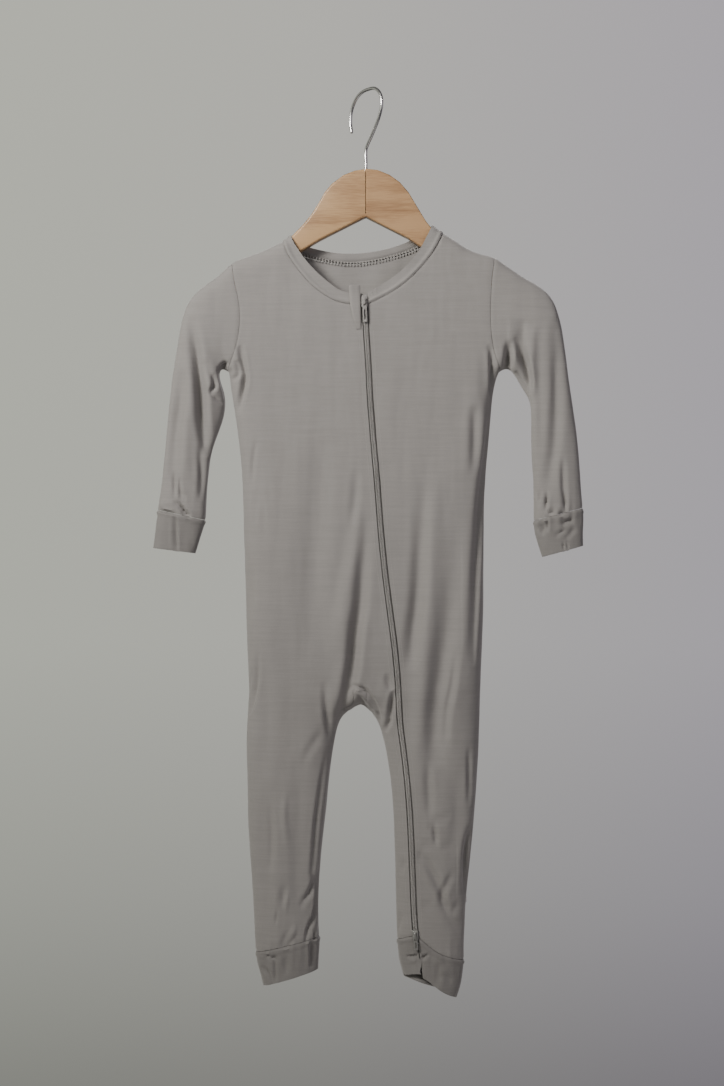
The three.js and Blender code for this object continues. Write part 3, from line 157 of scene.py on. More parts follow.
BODY_ROWS = tuple(BodyRow(*row) for row in (
    (-252, -124.2, -22.5, 2.5, 120.6, 14, 13),
    (-265.5, -123.3, -21.6, 3.1, 117.5, 14.5, 13.5),
    (-277.2, -121.5, -21.2, 3.6, 115.7, 15, 14),
    (-298.8, -117.5, -19.8, 5.4, 113.8, 16, 15),
    (-322.2, -114.8, -18, 7.2, 111.6, 17, 16),
    (-349.2, -112.3, -16.2, 9.9, 108.9, 18.5, 17),
    (-389.7, -111.4, -13.5, 12.6, 107.4, 20, 18),
    (-430.2, -110.2, -11.2, 16.5, 107.4, 21.5, 19),
    (-470.7, -109.8, -9, 21.9, 106.9, 23, 20),
    (-502.2, -108.6, -6.9, 26.1, 105.8, 23, 20.5),
    (-529.2, -107.7, -5.4, 28.4, 104.9, 22, 20),
))
RIGHT_LEG_ROWS = tuple(LegRow(*row) for row in (
    (-107.1, -538.2, -4.5, -551.2, 21, 19),
    (-108, -552.6, -14.4, -557.1, 20, 18),
    (-108.5, -567, -22.1, -563.4, 19.5, 18),
    (-109.3, -587.7, -26.6, -581.4, 19, 17),
    (-108.2, -619.2, -31.2, -614.7, 18, 17),
    (-107.6, -650.7, -34.6, -648, 18, 16),
    (-105.8, -682.2, -38.1, -680.4, 17, 16),
    (-104, -709.2, -41, -709.2, 17, 15),
    (-102.3, -740.7, -42, -736.2, 16, 15),
    (-100.4, -776.9, -40.5, -760.5, 15, 14),
))
RIGHT_LEG_CUFF_ROWS = tuple(LegRow(*row) for row in (
    (-96.8, -790.2, -41, -774, 14, 13),
    (-93.6, -803.7, -41.9, -788, 13.5, 12.5),
))
LEFT_LEG_ROWS = tuple(LegRow(*row) for row in (
    (104.4, -538.2, -4.5, -551.2, 21, 19, 29.2),
    (104, -552.6, 3.6, -558, 20, 18, 29.7),
    (103.5, -567, 10.8, -568.8, 19.5, 18, 30.3),
    (103.1, -587.7, 16.2, -585, 19, 17, 32.8),
    (100.6, -623.7, 21.2, -616.5, 18, 17, 36.9),
    (98.3, -655.2, 23.9, -648.9, 18, 16, 39.4),
    (94.8, -686.7, 24.8, -682.2, 17, 16, 40.9),
    (92, -713.7, 25.4, -709.2, 17, 15, 41.9),
    (89.5, -745.2, 26.4, -740.7, 16, 15, 42.9, 4),
    (88.2, -786.6, 27, -767.2, 15, 14, 44.8, 12),
))
LEFT_LEG_CUFF_ROWS = tuple(LegRow(*row) for row in (
    (88, -789.2, 27.3, -770, 15, 14, 46, 12),
    (86.9, -801, 29.4, -782.1, 14, 13, 48.1, 10),
    (82.3, -814.1, 32, -796.3, 13.5, 12.5, 50.4, 8),
))
RIGHT_SLEEVE_ROWS = tuple(SleeveRow(*row) for row in (
    (-120.6, -152.6, -124.7, -251.6, 11),
    (-131.4, -164.2, -130.2, -248.6, 11.5),
    (-143.1, -172.8, -132.8, -253.3, 12),
    (-153.9, -181.3, -131.8, -260.1, 12.5),
    (-161.1, -189.9, -128.7, -268.2, 13),
    (-165.6, -203.4, -126, -277.2, 13),
    (-168.8, -221.4, -126.5, -289.8, 13),
    (-172.3, -244.8, -131.4, -305.6, 12.5),
    (-175.7, -269.1, -137.7, -319.5, 12),
    (-179.4, -302.4, -140.8, -335.7, 11.5),
    (-181.8, -329.4, -142.2, -351, 11),
    (-184.1, -354.6, -143.6, -369, 11),
    (-187.4, -377.1, -143.8, -385.7, 10.5),
))
RIGHT_SLEEVE_CUFF_ROWS = tuple(SleeveRow(*row) for row in (
    (-189.5, -394.2, -148.5, -400.5, 10),
    (-191.7, -410.4, -153.1, -415.2, 9.5),
))
LEFT_SLEEVE_ROWS = tuple(SleeveRow(*row) for row in (
    (115.7, -147.2, 120.6, -252, 11),
    (127.8, -157.1, 126.2, -249.2, 11.5),
    (139.5, -165.3, 130.5, -250.9, 12),
    (152.1, -172.3, 135, -257.4, 12.5),
    (163.8, -180, 138.6, -263.7, 13),
    (171, -191.7, 142.2, -270, 13),
    (176, -209.7, 147.6, -278.1, 13),
    (179.1, -229.5, 148.7, -290.7, 12.5),
    (182.7, -258.3, 148.7, -308.7, 12),
    (187.2, -289.4, 149, -326.7, 11.5),
    (190.3, -313.2, 149.8, -342, 11),
    (192.6, -340.2, 150.6, -358.2, 11),
    (195.3, -378.3, 149.8, -388.3, 10.5),
))
LEFT_SLEEVE_CUFF_ROWS = tuple(SleeveRow(*row) for row in (
    (195.6, -393.3, 153, -403.2, 10),
    (195.8, -408.2, 158.4, -418.5, 9.5),
))
RIGHT_ARMHOLE = (
    (-124.2, -252), (-120.6, -243), (-116.1, -232.2), (-113, -219.6), (-111.4, -203.4),
    (-112.9, -188.1), (-117, -173.7), (-120.6, -152.6),
)
LEFT_ARMHOLE = (
    (120.6, -252), (113.8, -235.8), (111.1, -221.4), (110.3, -197.1), (112.1, -170.1),
    (115.7, -147.2),
)
RIGHT_SHOULDER = (
    (-120.6, -152.6), (-108.9, -148.5), (-95.4, -144.2), (-74.7, -134.1),
)
LEFT_SHOULDER = (
    (69.3, -126.2), (93.6, -142.4), (104.6, -146.1), (115.7, -147.2),
)
RIDGE = (*RIGHT_SHOULDER, (-68.4, -127.6), (60.3, -118.8), *LEFT_SHOULDER)
NECK_SEAM = {
    "front_right": (
        (-74.7, -134.1), (-73.3, -141.8), (-69.7, -149.9), (-56.7, -167.4), (-43.3, -182),
        (-28.8, -189.5),
    ),
    "front_centre": (
        (-28.8, -189.5), (-16.5, -192.2), (-4.3, -193.1),
    ),
    "front_left": (
        (1.7, -192.4), (6.3, -191.3), (18.7, -186.1), (32.1, -176.8), (46.6, -163.4),
        (60, -146.9), (67.2, -134.5), (69.3, -126.2),
    ),
    "back_right": (
        (-74.7, -134.1), (-68.4, -141.8), (-56.7, -147.2), (-41.2, -151.2), (-19.5, -154.6),
    ),
    "back_left": (
        (-19.5, -154.6), (-5, -154.6), (15.6, -151), (36.3, -144.8), (47.6, -140.1),
        (61.2, -133.2), (69.3, -126.2),
    ),
}
NECK_EDGE = {
    "front_right": (
        (-68.4, -127.6), (-65.9, -135.2), (-61.9, -141.7), (-51.6, -156.2), (-39.1, -168.6),
        (-26.1, -178.7),
    ),
    "front_centre": (
        (-26.1, -178.7), (-16.2, -182.3), (-4.5, -183.2),
    ),
    "front_left": (
        (1.5, -182), (8.4, -178.9), (17.6, -173.7), (32.1, -163.4), (44.6, -149.9),
        (50.8, -138.6), (56.2, -128.2), (60.3, -118.8),
    ),
    "back_right": (
        (-68.4, -127.6), (-62.1, -134.6), (-54, -138.4), (-43.3, -140.7), (-34, -142.7),
        (-19.5, -144.8),
    ),
    "back_left": (
        (-19.5, -144.8), (-5, -144.6), (10.4, -142.7), (25.9, -138.6), (35.2, -135),
        (46.8, -129.6), (54.9, -124.2), (60.3, -118.8),
    ),
}
RIGHT_ARM = (
    (-0.15, -69.8, -113.2, 5.5), (-9.9, -71.3, -118.1, 5.5), (-19.9, -75.2, -123.2, 5.5),
    (-30.6, -83.1, -128.6, 5.5), (-37.1, -90.9, -131.9, 5.5), (-42.3, -100.2, -134.6, 5.5),
    (-49, -110.7, -138.6, 5.5), (-56.9, -120.3, -143.4, 5.5), (-66.6, -130.2, -149.2, 5.5),
    (-74.7, -138.1, -154.4, 5.5), (-95.4, -148.6, -166.8, 5.5), (-120.6, -161.8, -181, 5.5),
    (-132, -168.4, -187.2, 5.5), (-139, -173.1, -189.6, 5.5), (-144.2, -177.6, -189.2, 5),
    (-147, -181, -187.4, 4.2), (-148.1, -183.4, -185.6, 3),
)
LEFT_ARM = (
    (0.15, -69.8, -113.2, 5.5), (10.4, -70.9, -118.4, 5.5), (21.1, -75.2, -123.8, 5.5),
    (30.2, -81.7, -128.4, 5.5), (38.2, -90.9, -132.5, 5.5), (46.1, -104.1, -138, 5.5),
    (54, -117.1, -142.6, 5.5), (60.5, -125.1, -146, 5.5), (69.3, -129.9, -150.6, 5.5),
    (93.6, -146, -164.2, 5.5), (115.7, -158.1, -176, 5.5), (138.6, -170.7, -188, 5.5),
    (147, -175.6, -190.4, 5.5), (153, -180.2, -190.6, 5), (156.5, -184, -189.2, 4.2),
    (157.9, -186.2, -188, 3),
)
# Depths of the yoke off the middle: height, front, back
YOKE_DEPTHS = (
    (-252, 14, 13), (-225, 13.3, 12.6), (-190, 12.6, 12.1), (-165, 11.4, 11.2),
    (-145, 10.5, 10.5),
)
ARMHOLE_SHAPE_KEPT = (1.0, 0.65, 0.35, 0.12)


# Creases of the front: line, width, depth, share of the way to the deepest, lean
FRONT_CREASES = (
    (((2.5, -367.5), (-0.5, -393.5), (-2.5, -421), (-5, -457), (-9, -482.5), (-12.5, -516.5),
     (-17, -541.5), (-22.5, -565.5)), 7, 5.6, 0.72),
    (((-5.5, -372), (-9, -408.5), (-17, -448), (-22.5, -479), (-27, -510.5)), 9, -1.6),
    (((-8, -340.5), (-10, -367.5), (-13.5, -394.5)), 5, 1),
    (((-39.5, -314), (-44.5, -385.5), (-47.5, -448), (-48, -510.5)), 16, 2.2),
    (((57, -312), (53.5, -352.5), (49.5, -394.5), (46.5, -448.5), (42, -489), (40, -517.5)), 8,
     3.6, 0.75),
    (((63.5, -340.5), (59, -421), (54.5, -492.5), (51.5, -537), (49, -581.5), (48, -635.5)), 12,
     -1.6),
    (((85.5, -372), (79.5, -421), (73, -474.5), (67, -516.5), (62.5, -551.5), (60.5, -586), (61.5,
     -606.5)), 12, 3.8, 0.72),
    (((80.5, -501.5), (77.5, -528), (72.5, -556.5), (70.5, -586)), 4, 1.5),
    (((97, -282.5), (97.5, -314), (96.5, -345)), 6, 2.4),
    (((114, -265), (111.5, -313), (107, -349.5), (104.5, -372), (101.5, -408.5), (99.5, -433.5),
     (97, -483.5), (95.5, -515)), 4, 3, 0.5, 0.5),
    (((109, -229), (112, -235.5), (113.5, -253.5), (114, -279)), 3.5, 3.2),
    (((-113, -229), (-110, -248), (-109, -262), (-112.5, -278.5), (-114, -289)), 3.5, 3.6),
    (((-116, -242.5), (-114.5, -255), (-120.5, -260.5)), 3, 2),
    (((-98, -314), (-101, -333.5), (-102, -354)), 3, 1), (((-103, -421), (-103, -474.5)), 5, 1),
    (((-97, -501.5), (-98, -524.5), (-101.5, -545), (-105.5, -560.5)), 3.5, 2.4, 0.6),
    (((-103, -521), (-106.5, -546)), 3, 1.5),
    (((-37, -528), (-35.5, -552.5), (-31.5, -580)), 4, 2.2, 0.6),
    (((-39.5, -573), (-57, -601.5)), 5, 0.8),
    (((-35.5, -592.5), (-39.5, -617.5), (-43, -642.5), (-45, -661), (-47, -688), (-49, -708.5)),
     3, 1.9, 0.6), (((-30.5, -604), (-31.5, -626.5), (-34, -644)), 3, 1.6),
    (((-45, -703), (-49.5, -716.5), (-59.5, -730.5)), 3, 2.4, 0.4),
    (((-42, -696), (-44, -711), (-45, -725.5), (-47, -739), (-52.5, -751.5), (-54, -764)), 2.3,
     2.8, 0.5, -0.3), (((-73, -711), (-75, -731.5)), 5, 1.3),
    (((-69, -753), (-76, -767.5)), 3.5, 1.3),
    (((-59, -599.5), (-60.5, -680), (-63.5, -742.5)), 10, 1.3),
    (((-87.5, -617.5), (-89.5, -689), (-87.5, -751.5)), 9, 1.1),
    (((-93, -501.5), (-89.5, -564), (-93, -626.5)), 10, 1.1),
    (((25, -537), (22.5, -551.5), (20, -568.5)), 3.5, 3.2), (((18, -523), (22.5, -537)), 4, 1.5),
    (((21.5, -563), (17, -574.5)), 3, 2),
    (((54.5, -601.5), (55.5, -618.5), (56.5, -637), (57, -651.5)), 5, 1.6),
    (((60, -655), (63.5, -672)), 3, 1.3), (((49, -675.5), (64, -673)), 3.5, 1),
    (((44.5, -680), (56, -694), (63.5, -710), (67.5, -724.5), (74, -736)), 5, 1.9),
    (((78.5, -699.5), (70.5, -713), (68, -724.5), (75.5, -735), (84, -726.5)), 4, 1.7),
    (((70.5, -739), (85, -751.5)), 4, 1.2),
    (((93.5, -660.5), (90.5, -682.5), (90, -706.5), (89, -724.5)), 3, 3.2, 0.4, 0.4),
    (((92, -589), (92, -639)), 3, 1.2), (((31, -698.5), (36, -689.5)), 3, 1),
    (((79.5, -608.5), (81, -653), (76.5, -689)), 9, 1.3),
    (((-16, -537), (-10, -533.5), (-1, -537), (8, -549), (12, -561)), 2.4, 1.7),
    (((-13, -541), (-8, -538.5), (-1.5, -543), (5, -554)), 2.6, -1.3),
    (((10, -556.5), (13.5, -567.5)), 3, 1.4),
    (((-157, -203.5), (-154.5, -220.5), (-152, -235.5), (-149.5, -256), (-147.5, -278.5), (-146.5,
     -296), (-144.5, -315), (-142, -327.5)), 6, 6.5, 0.6),
    (((-165, -251.5), (-167, -278.5), (-171, -299.5), (-173, -324), (-173.5, -362)), 8, 3.2),
    (((-160, -242.5), (-160, -278.5), (-160.5, -314), (-162.5, -349.5)), 7, -1.3),
    (((-169.5, -357), (-161, -367.5)), 3, 1.3),
    (((-172, -369), (-167, -372.5), (-161.5, -378.5), (-157, -382.5)), 2.2, 3.6, 0.6),
    (((-187, -376.5), (-179, -378), (-170, -379.5)), 1.7, 2.2),
    (((-184, -369.5), (-172, -371)), 3, -0.9), (((-172.5, -342), (-171, -366)), 2.6, 1.5),
    (((-167, -347), (-165.5, -368)), 2.2, 1.2),
    (((-149, -318), (-147, -345), (-148, -368)), 4, 1.8),
    (((-124, -243.5), (-132, -253.5)), 3.5, 2.6),
    (((-137.5, -255), (-135.5, -265), (-141, -273)), 3, 2.6),
    (((-139.5, -271), (-134, -276.5), (-127.5, -281)), 3, 1.6),
    (((-144.5, -242.5), (-138.5, -259.5)), 5, 1.2),
    (((141, -205), (140, -221), (141, -235.5), (146, -258.5), (147, -273)), 5, 3.6, 0.6, 0.4),
    (((150, -211.5), (148.5, -229), (149, -253.5), (150.5, -279), (151, -314), (151, -339)), 5,
     -1.7, 0.4), (((128, -224), (127.5, -238), (127, -251)), 4.6, 5.4, 0.62),
    (((133.5, -221), (139, -238), (144.5, -253.5), (147, -268.5)), 4, 2.2),
    (((134, -251.5), (140.5, -267), (145.5, -279)), 3.4, 3),
    (((169.5, -203.5), (170.5, -238), (170.5, -278.5), (168.5, -317.5), (164, -347), (161.5,
     -364)), 7, 2.4, 0.55), (((176, -328.5), (177, -357), (178.5, -379)), 3.5, 1.4),
    (((154.5, -358.5), (156, -372)), 3, 1.3),
    (((162, -362), (160.5, -370), (159, -377.5)), 3, 1.6),
    (((172, -390), (185.5, -384.5)), 2.5, 0.9), (((178.5, -403), (188.5, -391.5)), 3, 0.9),
    (((155.5, -397), (160, -386.5)), 5, 1.8),
    (((-170.5, -381), (-169.5, -397), (-168.5, -414)), 2.2, 1.5, 0.6, 0.5),
    (((-95, -785), (-85.5, -792.5)), 3, 1.1), (((-81, -774.5), (-81, -800.5)), 2, 0.8),
    (((-72.5, -776.5), (-70, -790.5)), 4, 0.9), (((-49, -760), (-49, -786)), 3, 2.2, 0.5, -0.4),
    (((46.5, -773.5), (42, -775.5), (35, -776)), 1.8, 1.8, 0.4),
    (((45, -779.5), (38, -780)), 1.8, -0.8), (((49.5, -777), (56, -773)), 2, 1.8, 0.35),
    (((67, -790.5), (77.5, -798.5)), 4, 0.9), (((63.5, -781.5), (64, -801.5)), 5, 0.9),
    (((54.4, -652), (66, -652.5), (76, -649)), 3, 1.2),
    (((54.4, -656.6), (60, -664), (64.4, -674)), 2.5, 1.6), (((45, -686), (50.5, -687.5)), 2, 1),
    (((47, -694), (60, -711.4), (69, -730)), 3.4, -1.1), (((48.6, -730), (60, -728.6)), 2.5, 1),
    (((26, -756), (32.5, -738)), 4, 1.3), (((67, -677), (77, -675.5)), 2.4, 1),
    (((-78.8, -735), (-81.3, -745)), 1.6, 1.2), (((-70, -718), (-72, -733)), 2.6, -0.9),
    (((-70, -760.5), (-61.6, -748.4)), 3, -1.2), (((-73.6, -768.6), (-63.3, -757)), 2.5, 1.2),
    (((-92, -774.5), (-84, -776.5), (-77, -776.5)), 1.8, 1.5),
    (((-46.3, -752), (-46, -762)), 1.3, 1.7), (((-42.8, -751), (-42.3, -760)), 1.2, 1.3),
    (((-89, -787), (-82, -801)), 2, 1), (((-86, -640), (-84, -668), (-86, -700)), 4, 1.1),
    (((-72, -628), (-73, -650), (-70, -676)), 4, -0.9),
    (((160.5, -383.5), (163.6, -380), (170.6, -379), (179, -380.5)), 1.6, 2.4),
    (((162.8, -362), (160.6, -377)), 1.8, 1.7), (((178, -361), (179, -378)), 2, 1.5),
    (((162.6, -384.5), (162.6, -396)), 1.6, 1.5), (((174.6, -389.7), (186, -385)), 1.8, 1.5),
    (((168.6, -400), (178.6, -394)), 2, 1.2), (((176.6, -406), (177, -412)), 1.5, 1),
    (((180.3, -406), (180.6, -411.5)), 1.4, 0.8), (((156.6, -398), (162, -390)), 2.4, 1.4),
)

# Creases of the back, as uneven as those of the front
BACK_CREASES = (
    (((-62, -150), (-52, -230), (-46, -330)), 16, 2.4),
    (((20, -140), (14, -240), (10, -340)), 18, 1.8, 0.6),
    (((-50, -270), (-40, -380), (-30, -480)), 14, 3.2, 0.6),
    (((45, -300), (50, -430), (60, -560)), 13, 3.2, 0.65),
    (((78, -230), (80, -330), (84, -420)), 12, 2),
    (((-85, -240), (-84, -330), (-88, -420)), 11, 1.8, 0.4),
    (((-100, -215), (-72, -248), (-40, -262)), 9, 2, 0.3),
    (((100, -212), (74, -244), (45, -262)), 9, 1.8, 0.3),
    (((-4, -566), (-15, -532), (-26, -490)), 8, 2.6, 0.3),
    (((9, -564), (22, -535), (38, -498)), 8, 2.2, 0.3),
    (((-28, -600), (-44, -578), (-66, -566)), 7, 1.6, 0.3),
    (((34, -608), (50, -586), (72, -575)), 7, 1.5, 0.3),
    (((-85, -460), (-82, -580), (-75, -700)), 12, 3),
    (((60, -590), (60, -665), (55, -740)), 11, 2.6, 0.6),
    (((-56, -600), (-56, -680), (-61, -742)), 8, 1.8, 0.4),
    (((82, -560), (81, -650), (77, -755)), 9, 1.8, 0.4),
    (((-128, -160), (-150, -215), (-161, -290)), 10, 2.6, 0.4),
    (((-136, -300), (-138, -335), (-136, -366)), 7, 2, 0.6),
    (((-160, -325), (-160, -350), (-157, -370)), 6, 1.6, 0.6),
    (((130, -160), (152, -218), (165, -290)), 10, 2.6, 0.4),
    (((170, -312), (175, -345), (177, -370)), 7, 2, 0.6),
    (((156, -330), (159, -350), (161, -371)), 5, 1.4, 0.6),
    (((-81, -742), (-84, -758), (-84, -772)), 4, 1.3, 0.7),
    (((-56, -736), (-54, -750), (-55, -762)), 4, 1.2, 0.7),
    (((44, -735), (42, -750), (43, -765)), 4, 1.2, 0.7),
    (((72, -744), (75, -762), (74, -777)), 4, 1.3, 0.7), (((-70, -778), (-69, -802)), 4, 0.9),
    (((64, -786), (66, -806)), 4, 0.9),
)


def mix(start: float, end: float, share: float) -> float:
    """Return the value a share of the way from start to end."""
    return start + (end - start) * share


def clamp01(value: float) -> float:
    """Return value held between 0 and 1."""
    return min(1.0, max(0.0, value))


def along(line: Line, share: float) -> Point:
    """Find the point a share of the way along a line.

    Args:
        line: The line's corner points.
        share: 0 at its start, 1 at its end.

    Returns:
        The point on the line.
    """
    lengths = [math.dist(a, b) for a, b in zip(line, line[1:])]
    left = share * sum(lengths)
    for start, end, length in zip(line, line[1:], lengths):
        if left <= length:
            return mix(start[0], end[0], left / length), mix(start[1], end[1], left / length)
        left -= length
    return line[-1]


def read_line(line: Line, key: int, value: float) -> float:
    """Read a line at one coordinate, held at its ends.

    Args:
        line: The line's corner points.
        key: The coordinate that value is of, 0 or 1.
        value: Where to read.

    Returns:
        The other coordinate there.
    """
    rising = sorted(line, key=lambda point: point[key])
    return float(np.interp(value, [p[key] for p in rising], [p[1 - key] for p in rising]))


def smooth_line(line: Line, step: float) -> np.ndarray:
    """Round a line's corners and divide it evenly.

    Args:
        line: The line's corner points.
        step: Spacing of the new points.

    Returns:
        An array of points along a smooth curve through the corners.
    """
    corners = np.asarray(line, float)
    padded = np.vstack([2 * corners[0] - corners[1], corners, 2 * corners[-1] - corners[-2]])
    curve = []
    for a, b, c, d in zip(padded, padded[1:], padded[2:], padded[3:]):
        for t in np.linspace(0, 1, 12, endpoint=False):
            curve.append(0.5 * (2 * b + (c - a) * t + (2 * a - 5 * b + 4 * c - d) * t**2
                                + (3 * b - a - 3 * c + d) * t**3))
    curve = np.vstack([curve, corners[-1]])
    run = np.concatenate([[0], np.cumsum(np.linalg.norm(np.diff(curve, axis=0), axis=1))])
    count = max(2, int(round(run[-1] / step)) + 1)
    even = np.linspace(0, run[-1], count)
    return np.stack([np.interp(even, run, curve[:, axis]) for axis in range(corners.shape[1])], 1)


@dataclass
class GarmentForm:
    """Outer surface of the whole garment as rows of four-sided patches, in millimetres."""

    fold_reach: float = 26.0
    fold_fullness: float = 0.8
    crown: float = 0.1
    squareness: float = 0.7
    shoulder_rounding: float = 8.0
    underarm_rounding: float = 30.0
    zip_half: float = 3.0
    slit_half: float = 0.5
    lift_reach: float = 14.0
    crowding: float = 1.8
    right_steps: int = 11
    shoulder_right_steps: int = 5
    shoulder_left_steps: int = 4
    left_steps: int = 10
    centre_steps: int = 4
    neck_steps: int = 6
    yoke_rows: int = 10
    points: list[Vector] = field(default_factory=list)
    quads: list[tuple[int, ...]] = field(default_factory=list)
    pieces: list[Piece] = field(default_factory=list)
    zip_rows: list[Numbers] = field(default_factory=list)

    @property
    def zip_column(self) -> int:
        """Column of the front that the zip's opening takes."""
        return self.right_steps + self.centre_steps

    def add(self, x: float, y: float, z: float) -> int:
        """Add a point and return its number."""
        self.points.append(Vector((x, y, z)))
        return len(self.points) - 1

    def join(self, lower: Sequence[int], upper: Sequence[int],
             piece_at: Callable[[int], Piece]) -> None:
        """Join two neighbouring rows of points with patches.

        Args:
            lower: Numbers of the lower row's points.
            upper: Numbers of the upper row's points.
            piece_at: Gives the piece of a column.
        """
        for i in range(len(lower) - 1):
            self.quads.append((lower[i], lower[i + 1], upper[i + 1], upper[i]))
            self.pieces.append(piece_at(i))

    def front_piece(self, column: int) -> Piece:
        """Return the piece at a column of the front."""
        if column == self.zip_column:
            return Piece.OPEN
        return Piece.FRONT_RIGHT if column < self.zip_column else Piece.FRONT_LEFT

    @staticmethod
    def gore(columns: Sequence[int], other: Callable[[int], Piece]) -> Callable[[int], Piece]:
        """Return what tells the piece of a column, the gusset at some and another elsewhere."""
        return lambda column: Piece.GUSSET if column in columns else other(column)

    def fullness(self, x: float, one: float, other: float) -> float:
        """Return how full a flattened tube is at x between its side folds.

        Args:
            x: Place across.
            one: One side fold.
            other: The other side fold.

        Returns:
            Its share of the depth.
        """
        width = abs(other - one)
        inward = min(abs(x - one), abs(x - other))
        near = 1 - clamp01(inward / min(self.fold_reach, width / 2))
        place = (2 * x - one - other) / width
        return (1 - near * near) ** (self.fold_fullness / 2) * (1 - self.crown * place * place)

    def tube_point(self, side: Side, x: float, z: float, one: float, other: float,
                   depth: float) -> int:
        """Add a point on the front or back of a tube with side folds at one and other."""
        return self.add(x, side.value * depth * self.fullness(x, one, other), z)

    @staticmethod
    def side_spacing(share: float, leg_like: float) -> float:
        """Return the place of a column between a side fold (0) and the middle line (1)."""
        leg_place = 0.45 * (1 - math.cos(math.pi * share)) / 2 + 0.55 * share
        return mix(share**1.3, leg_place, leg_like)

    def front_columns(self, row: BodyRow, leg_like: float, opening: float) -> list[float]:
        """Return the x of every front column, from the right fold to the left one.

        Args:
            row: The row's folds and zip.
            leg_like: 0 on the body to 1 at the legs.
            opening: Half the gap at the zip.

        Returns:
            One x for each column.
        """
        steps = self.right_steps
        xs = [mix(row.right, row.middle, self.side_spacing(i / steps, leg_like))
              for i in range(steps)]
        for i in range(self.centre_steps + 1):
            share = i / self.centre_steps
            xs.append(mix(row.middle, row.zip - opening, mix(share, share**1.3, leg_like)))
        for i in range(self.left_steps + 1):
            share = (self.left_steps - i) / self.left_steps
            xs.append(mix(row.left, row.zip + opening, share**1.3))
        return xs

    def back_columns(self, row: BodyRow, leg_like: float) -> list[float]:
        """Return the x of every back column, from the left fold to the right one.

        Args:
            row: The row's folds.
            leg_like: 0 on the body to 1 at the legs.

        Returns:
            One x for each column.
        """
        left, right = self.left_steps, self.right_steps
        xs = [mix(row.left, row.middle, self.side_spacing(i / left, leg_like))
              for i in range(left)]
        return xs + [mix(row.right, row.middle, self.side_spacing((right - i) / right, leg_like))
                     for i in range(right + 1)]

    def body_row(self, row: BodyRow) -> Numbers:
        """Add one row of the body and return its front and back points, sharing both ends.

        Args:
            row: The row.

        Returns:
            Its front and back points.
        """
        leg_like = clamp01((-430 - row.z) / (-430 - BODY_ROWS[-1].z))
        front = [self.tube_point(Side.FRONT, x, row.z, row.right, row.left, row.front)
                 for x in self.front_columns(row, leg_like, self.zip_half)]
        back = [self.tube_point(Side.BACK, x, row.z, row.right, row.left, row.back)
                for x in self.back_columns(row, leg_like)[1:-1]]
        return front, [front[-1], *back, front[0]]

    def yoke_point(self, side: Side, x: float, z: float) -> int:
        """Add a point of the yoke or neckband at x and z.

        Args:
            side: Front or back.
            x: Place across.
            z: Height.

        Returns:
            The point's number.
        """
        rows, column = sorted(YOKE_DEPTHS), 1 if side is Side.FRONT else 2
        depth = np.interp(z, [row[0] for row in rows], [row[column] for row in rows])
        low = BODY_ROWS[0]
        below = clamp01((read_line(RIDGE, 0, x) - z) / self.shoulder_rounding)
        height = clamp01((z - low.z) / self.underarm_rounding)
        blend = 1 - math.sqrt(1 - (1 - height) ** 2)
        place = (2 * x - low.right - low.left) / (low.left - low.right)
        edge = mix(1 - self.crown * place * place, self.fullness(x, low.right, low.left), blend)
        stand = float(depth) * math.sqrt(1 - (1 - below) ** 2) * edge
        return self.add(x, side.value * stand, z)

    def neck_shares(self) -> list[float]:
        """Return the places of the neck columns, crowded where they cross the hanger."""
        return [(i / self.neck_steps) ** self.crowding for i in range(self.neck_steps + 1)]

    def front_neck(self, line: dict[str, Line]) -> list[Point]:
        """Return the points of one neck line at the columns of the front.

        Args:
            line: The neck line.

        Returns:
            One point for each column.
        """
        right = [along(line["front_right"], share) for share in self.neck_shares()]
        centre = [along(line["front_centre"], i / self.centre_steps)
                  for i in range(1, self.centre_steps + 1)]
        left = [along(line["front_left"], 1 - share) for share in reversed(self.neck_shares())]
        return right + centre + left

    def back_neck(self, line: dict[str, Line]) -> list[Point]:
        """Return the points of one neck line at the columns of the back."""
        left = [along(line["back_left"], 1 - share) for share in self.neck_shares()]
        return left + [along(line["back_right"], share)
                       for share in list(reversed(self.neck_shares()))[1:]]

    def yoke_column(self, side: Side, base: Vector, top: Point, height: float, from_right: int,
                    from_left: int) -> int:
        """Add the point of one yoke column at a height between the underarm and its top.

        Args:
            side: Front or back.
            base: The column's foot.
            top: Its top.
            height: 0 at the foot to 1.
            from_right: Columns from the right end.
            from_left: Columns from the left end.

        Returns:
            The point's number.
        """
        x = mix(base.x, top[0], height)
        for line, columns in ((RIGHT_ARMHOLE, from_right), (LEFT_ARMHOLE, from_left)):
            end_x, end_z = line[-1]
            z = mix(BODY_ROWS[0].z, end_z, height)
            bow = read_line(line, 1, z) - mix(line[0][0], end_x, height)
            x += bow * clamp01(1 - columns / 5)
        return self.yoke_point(side, x, mix(base.z, top[1], height))

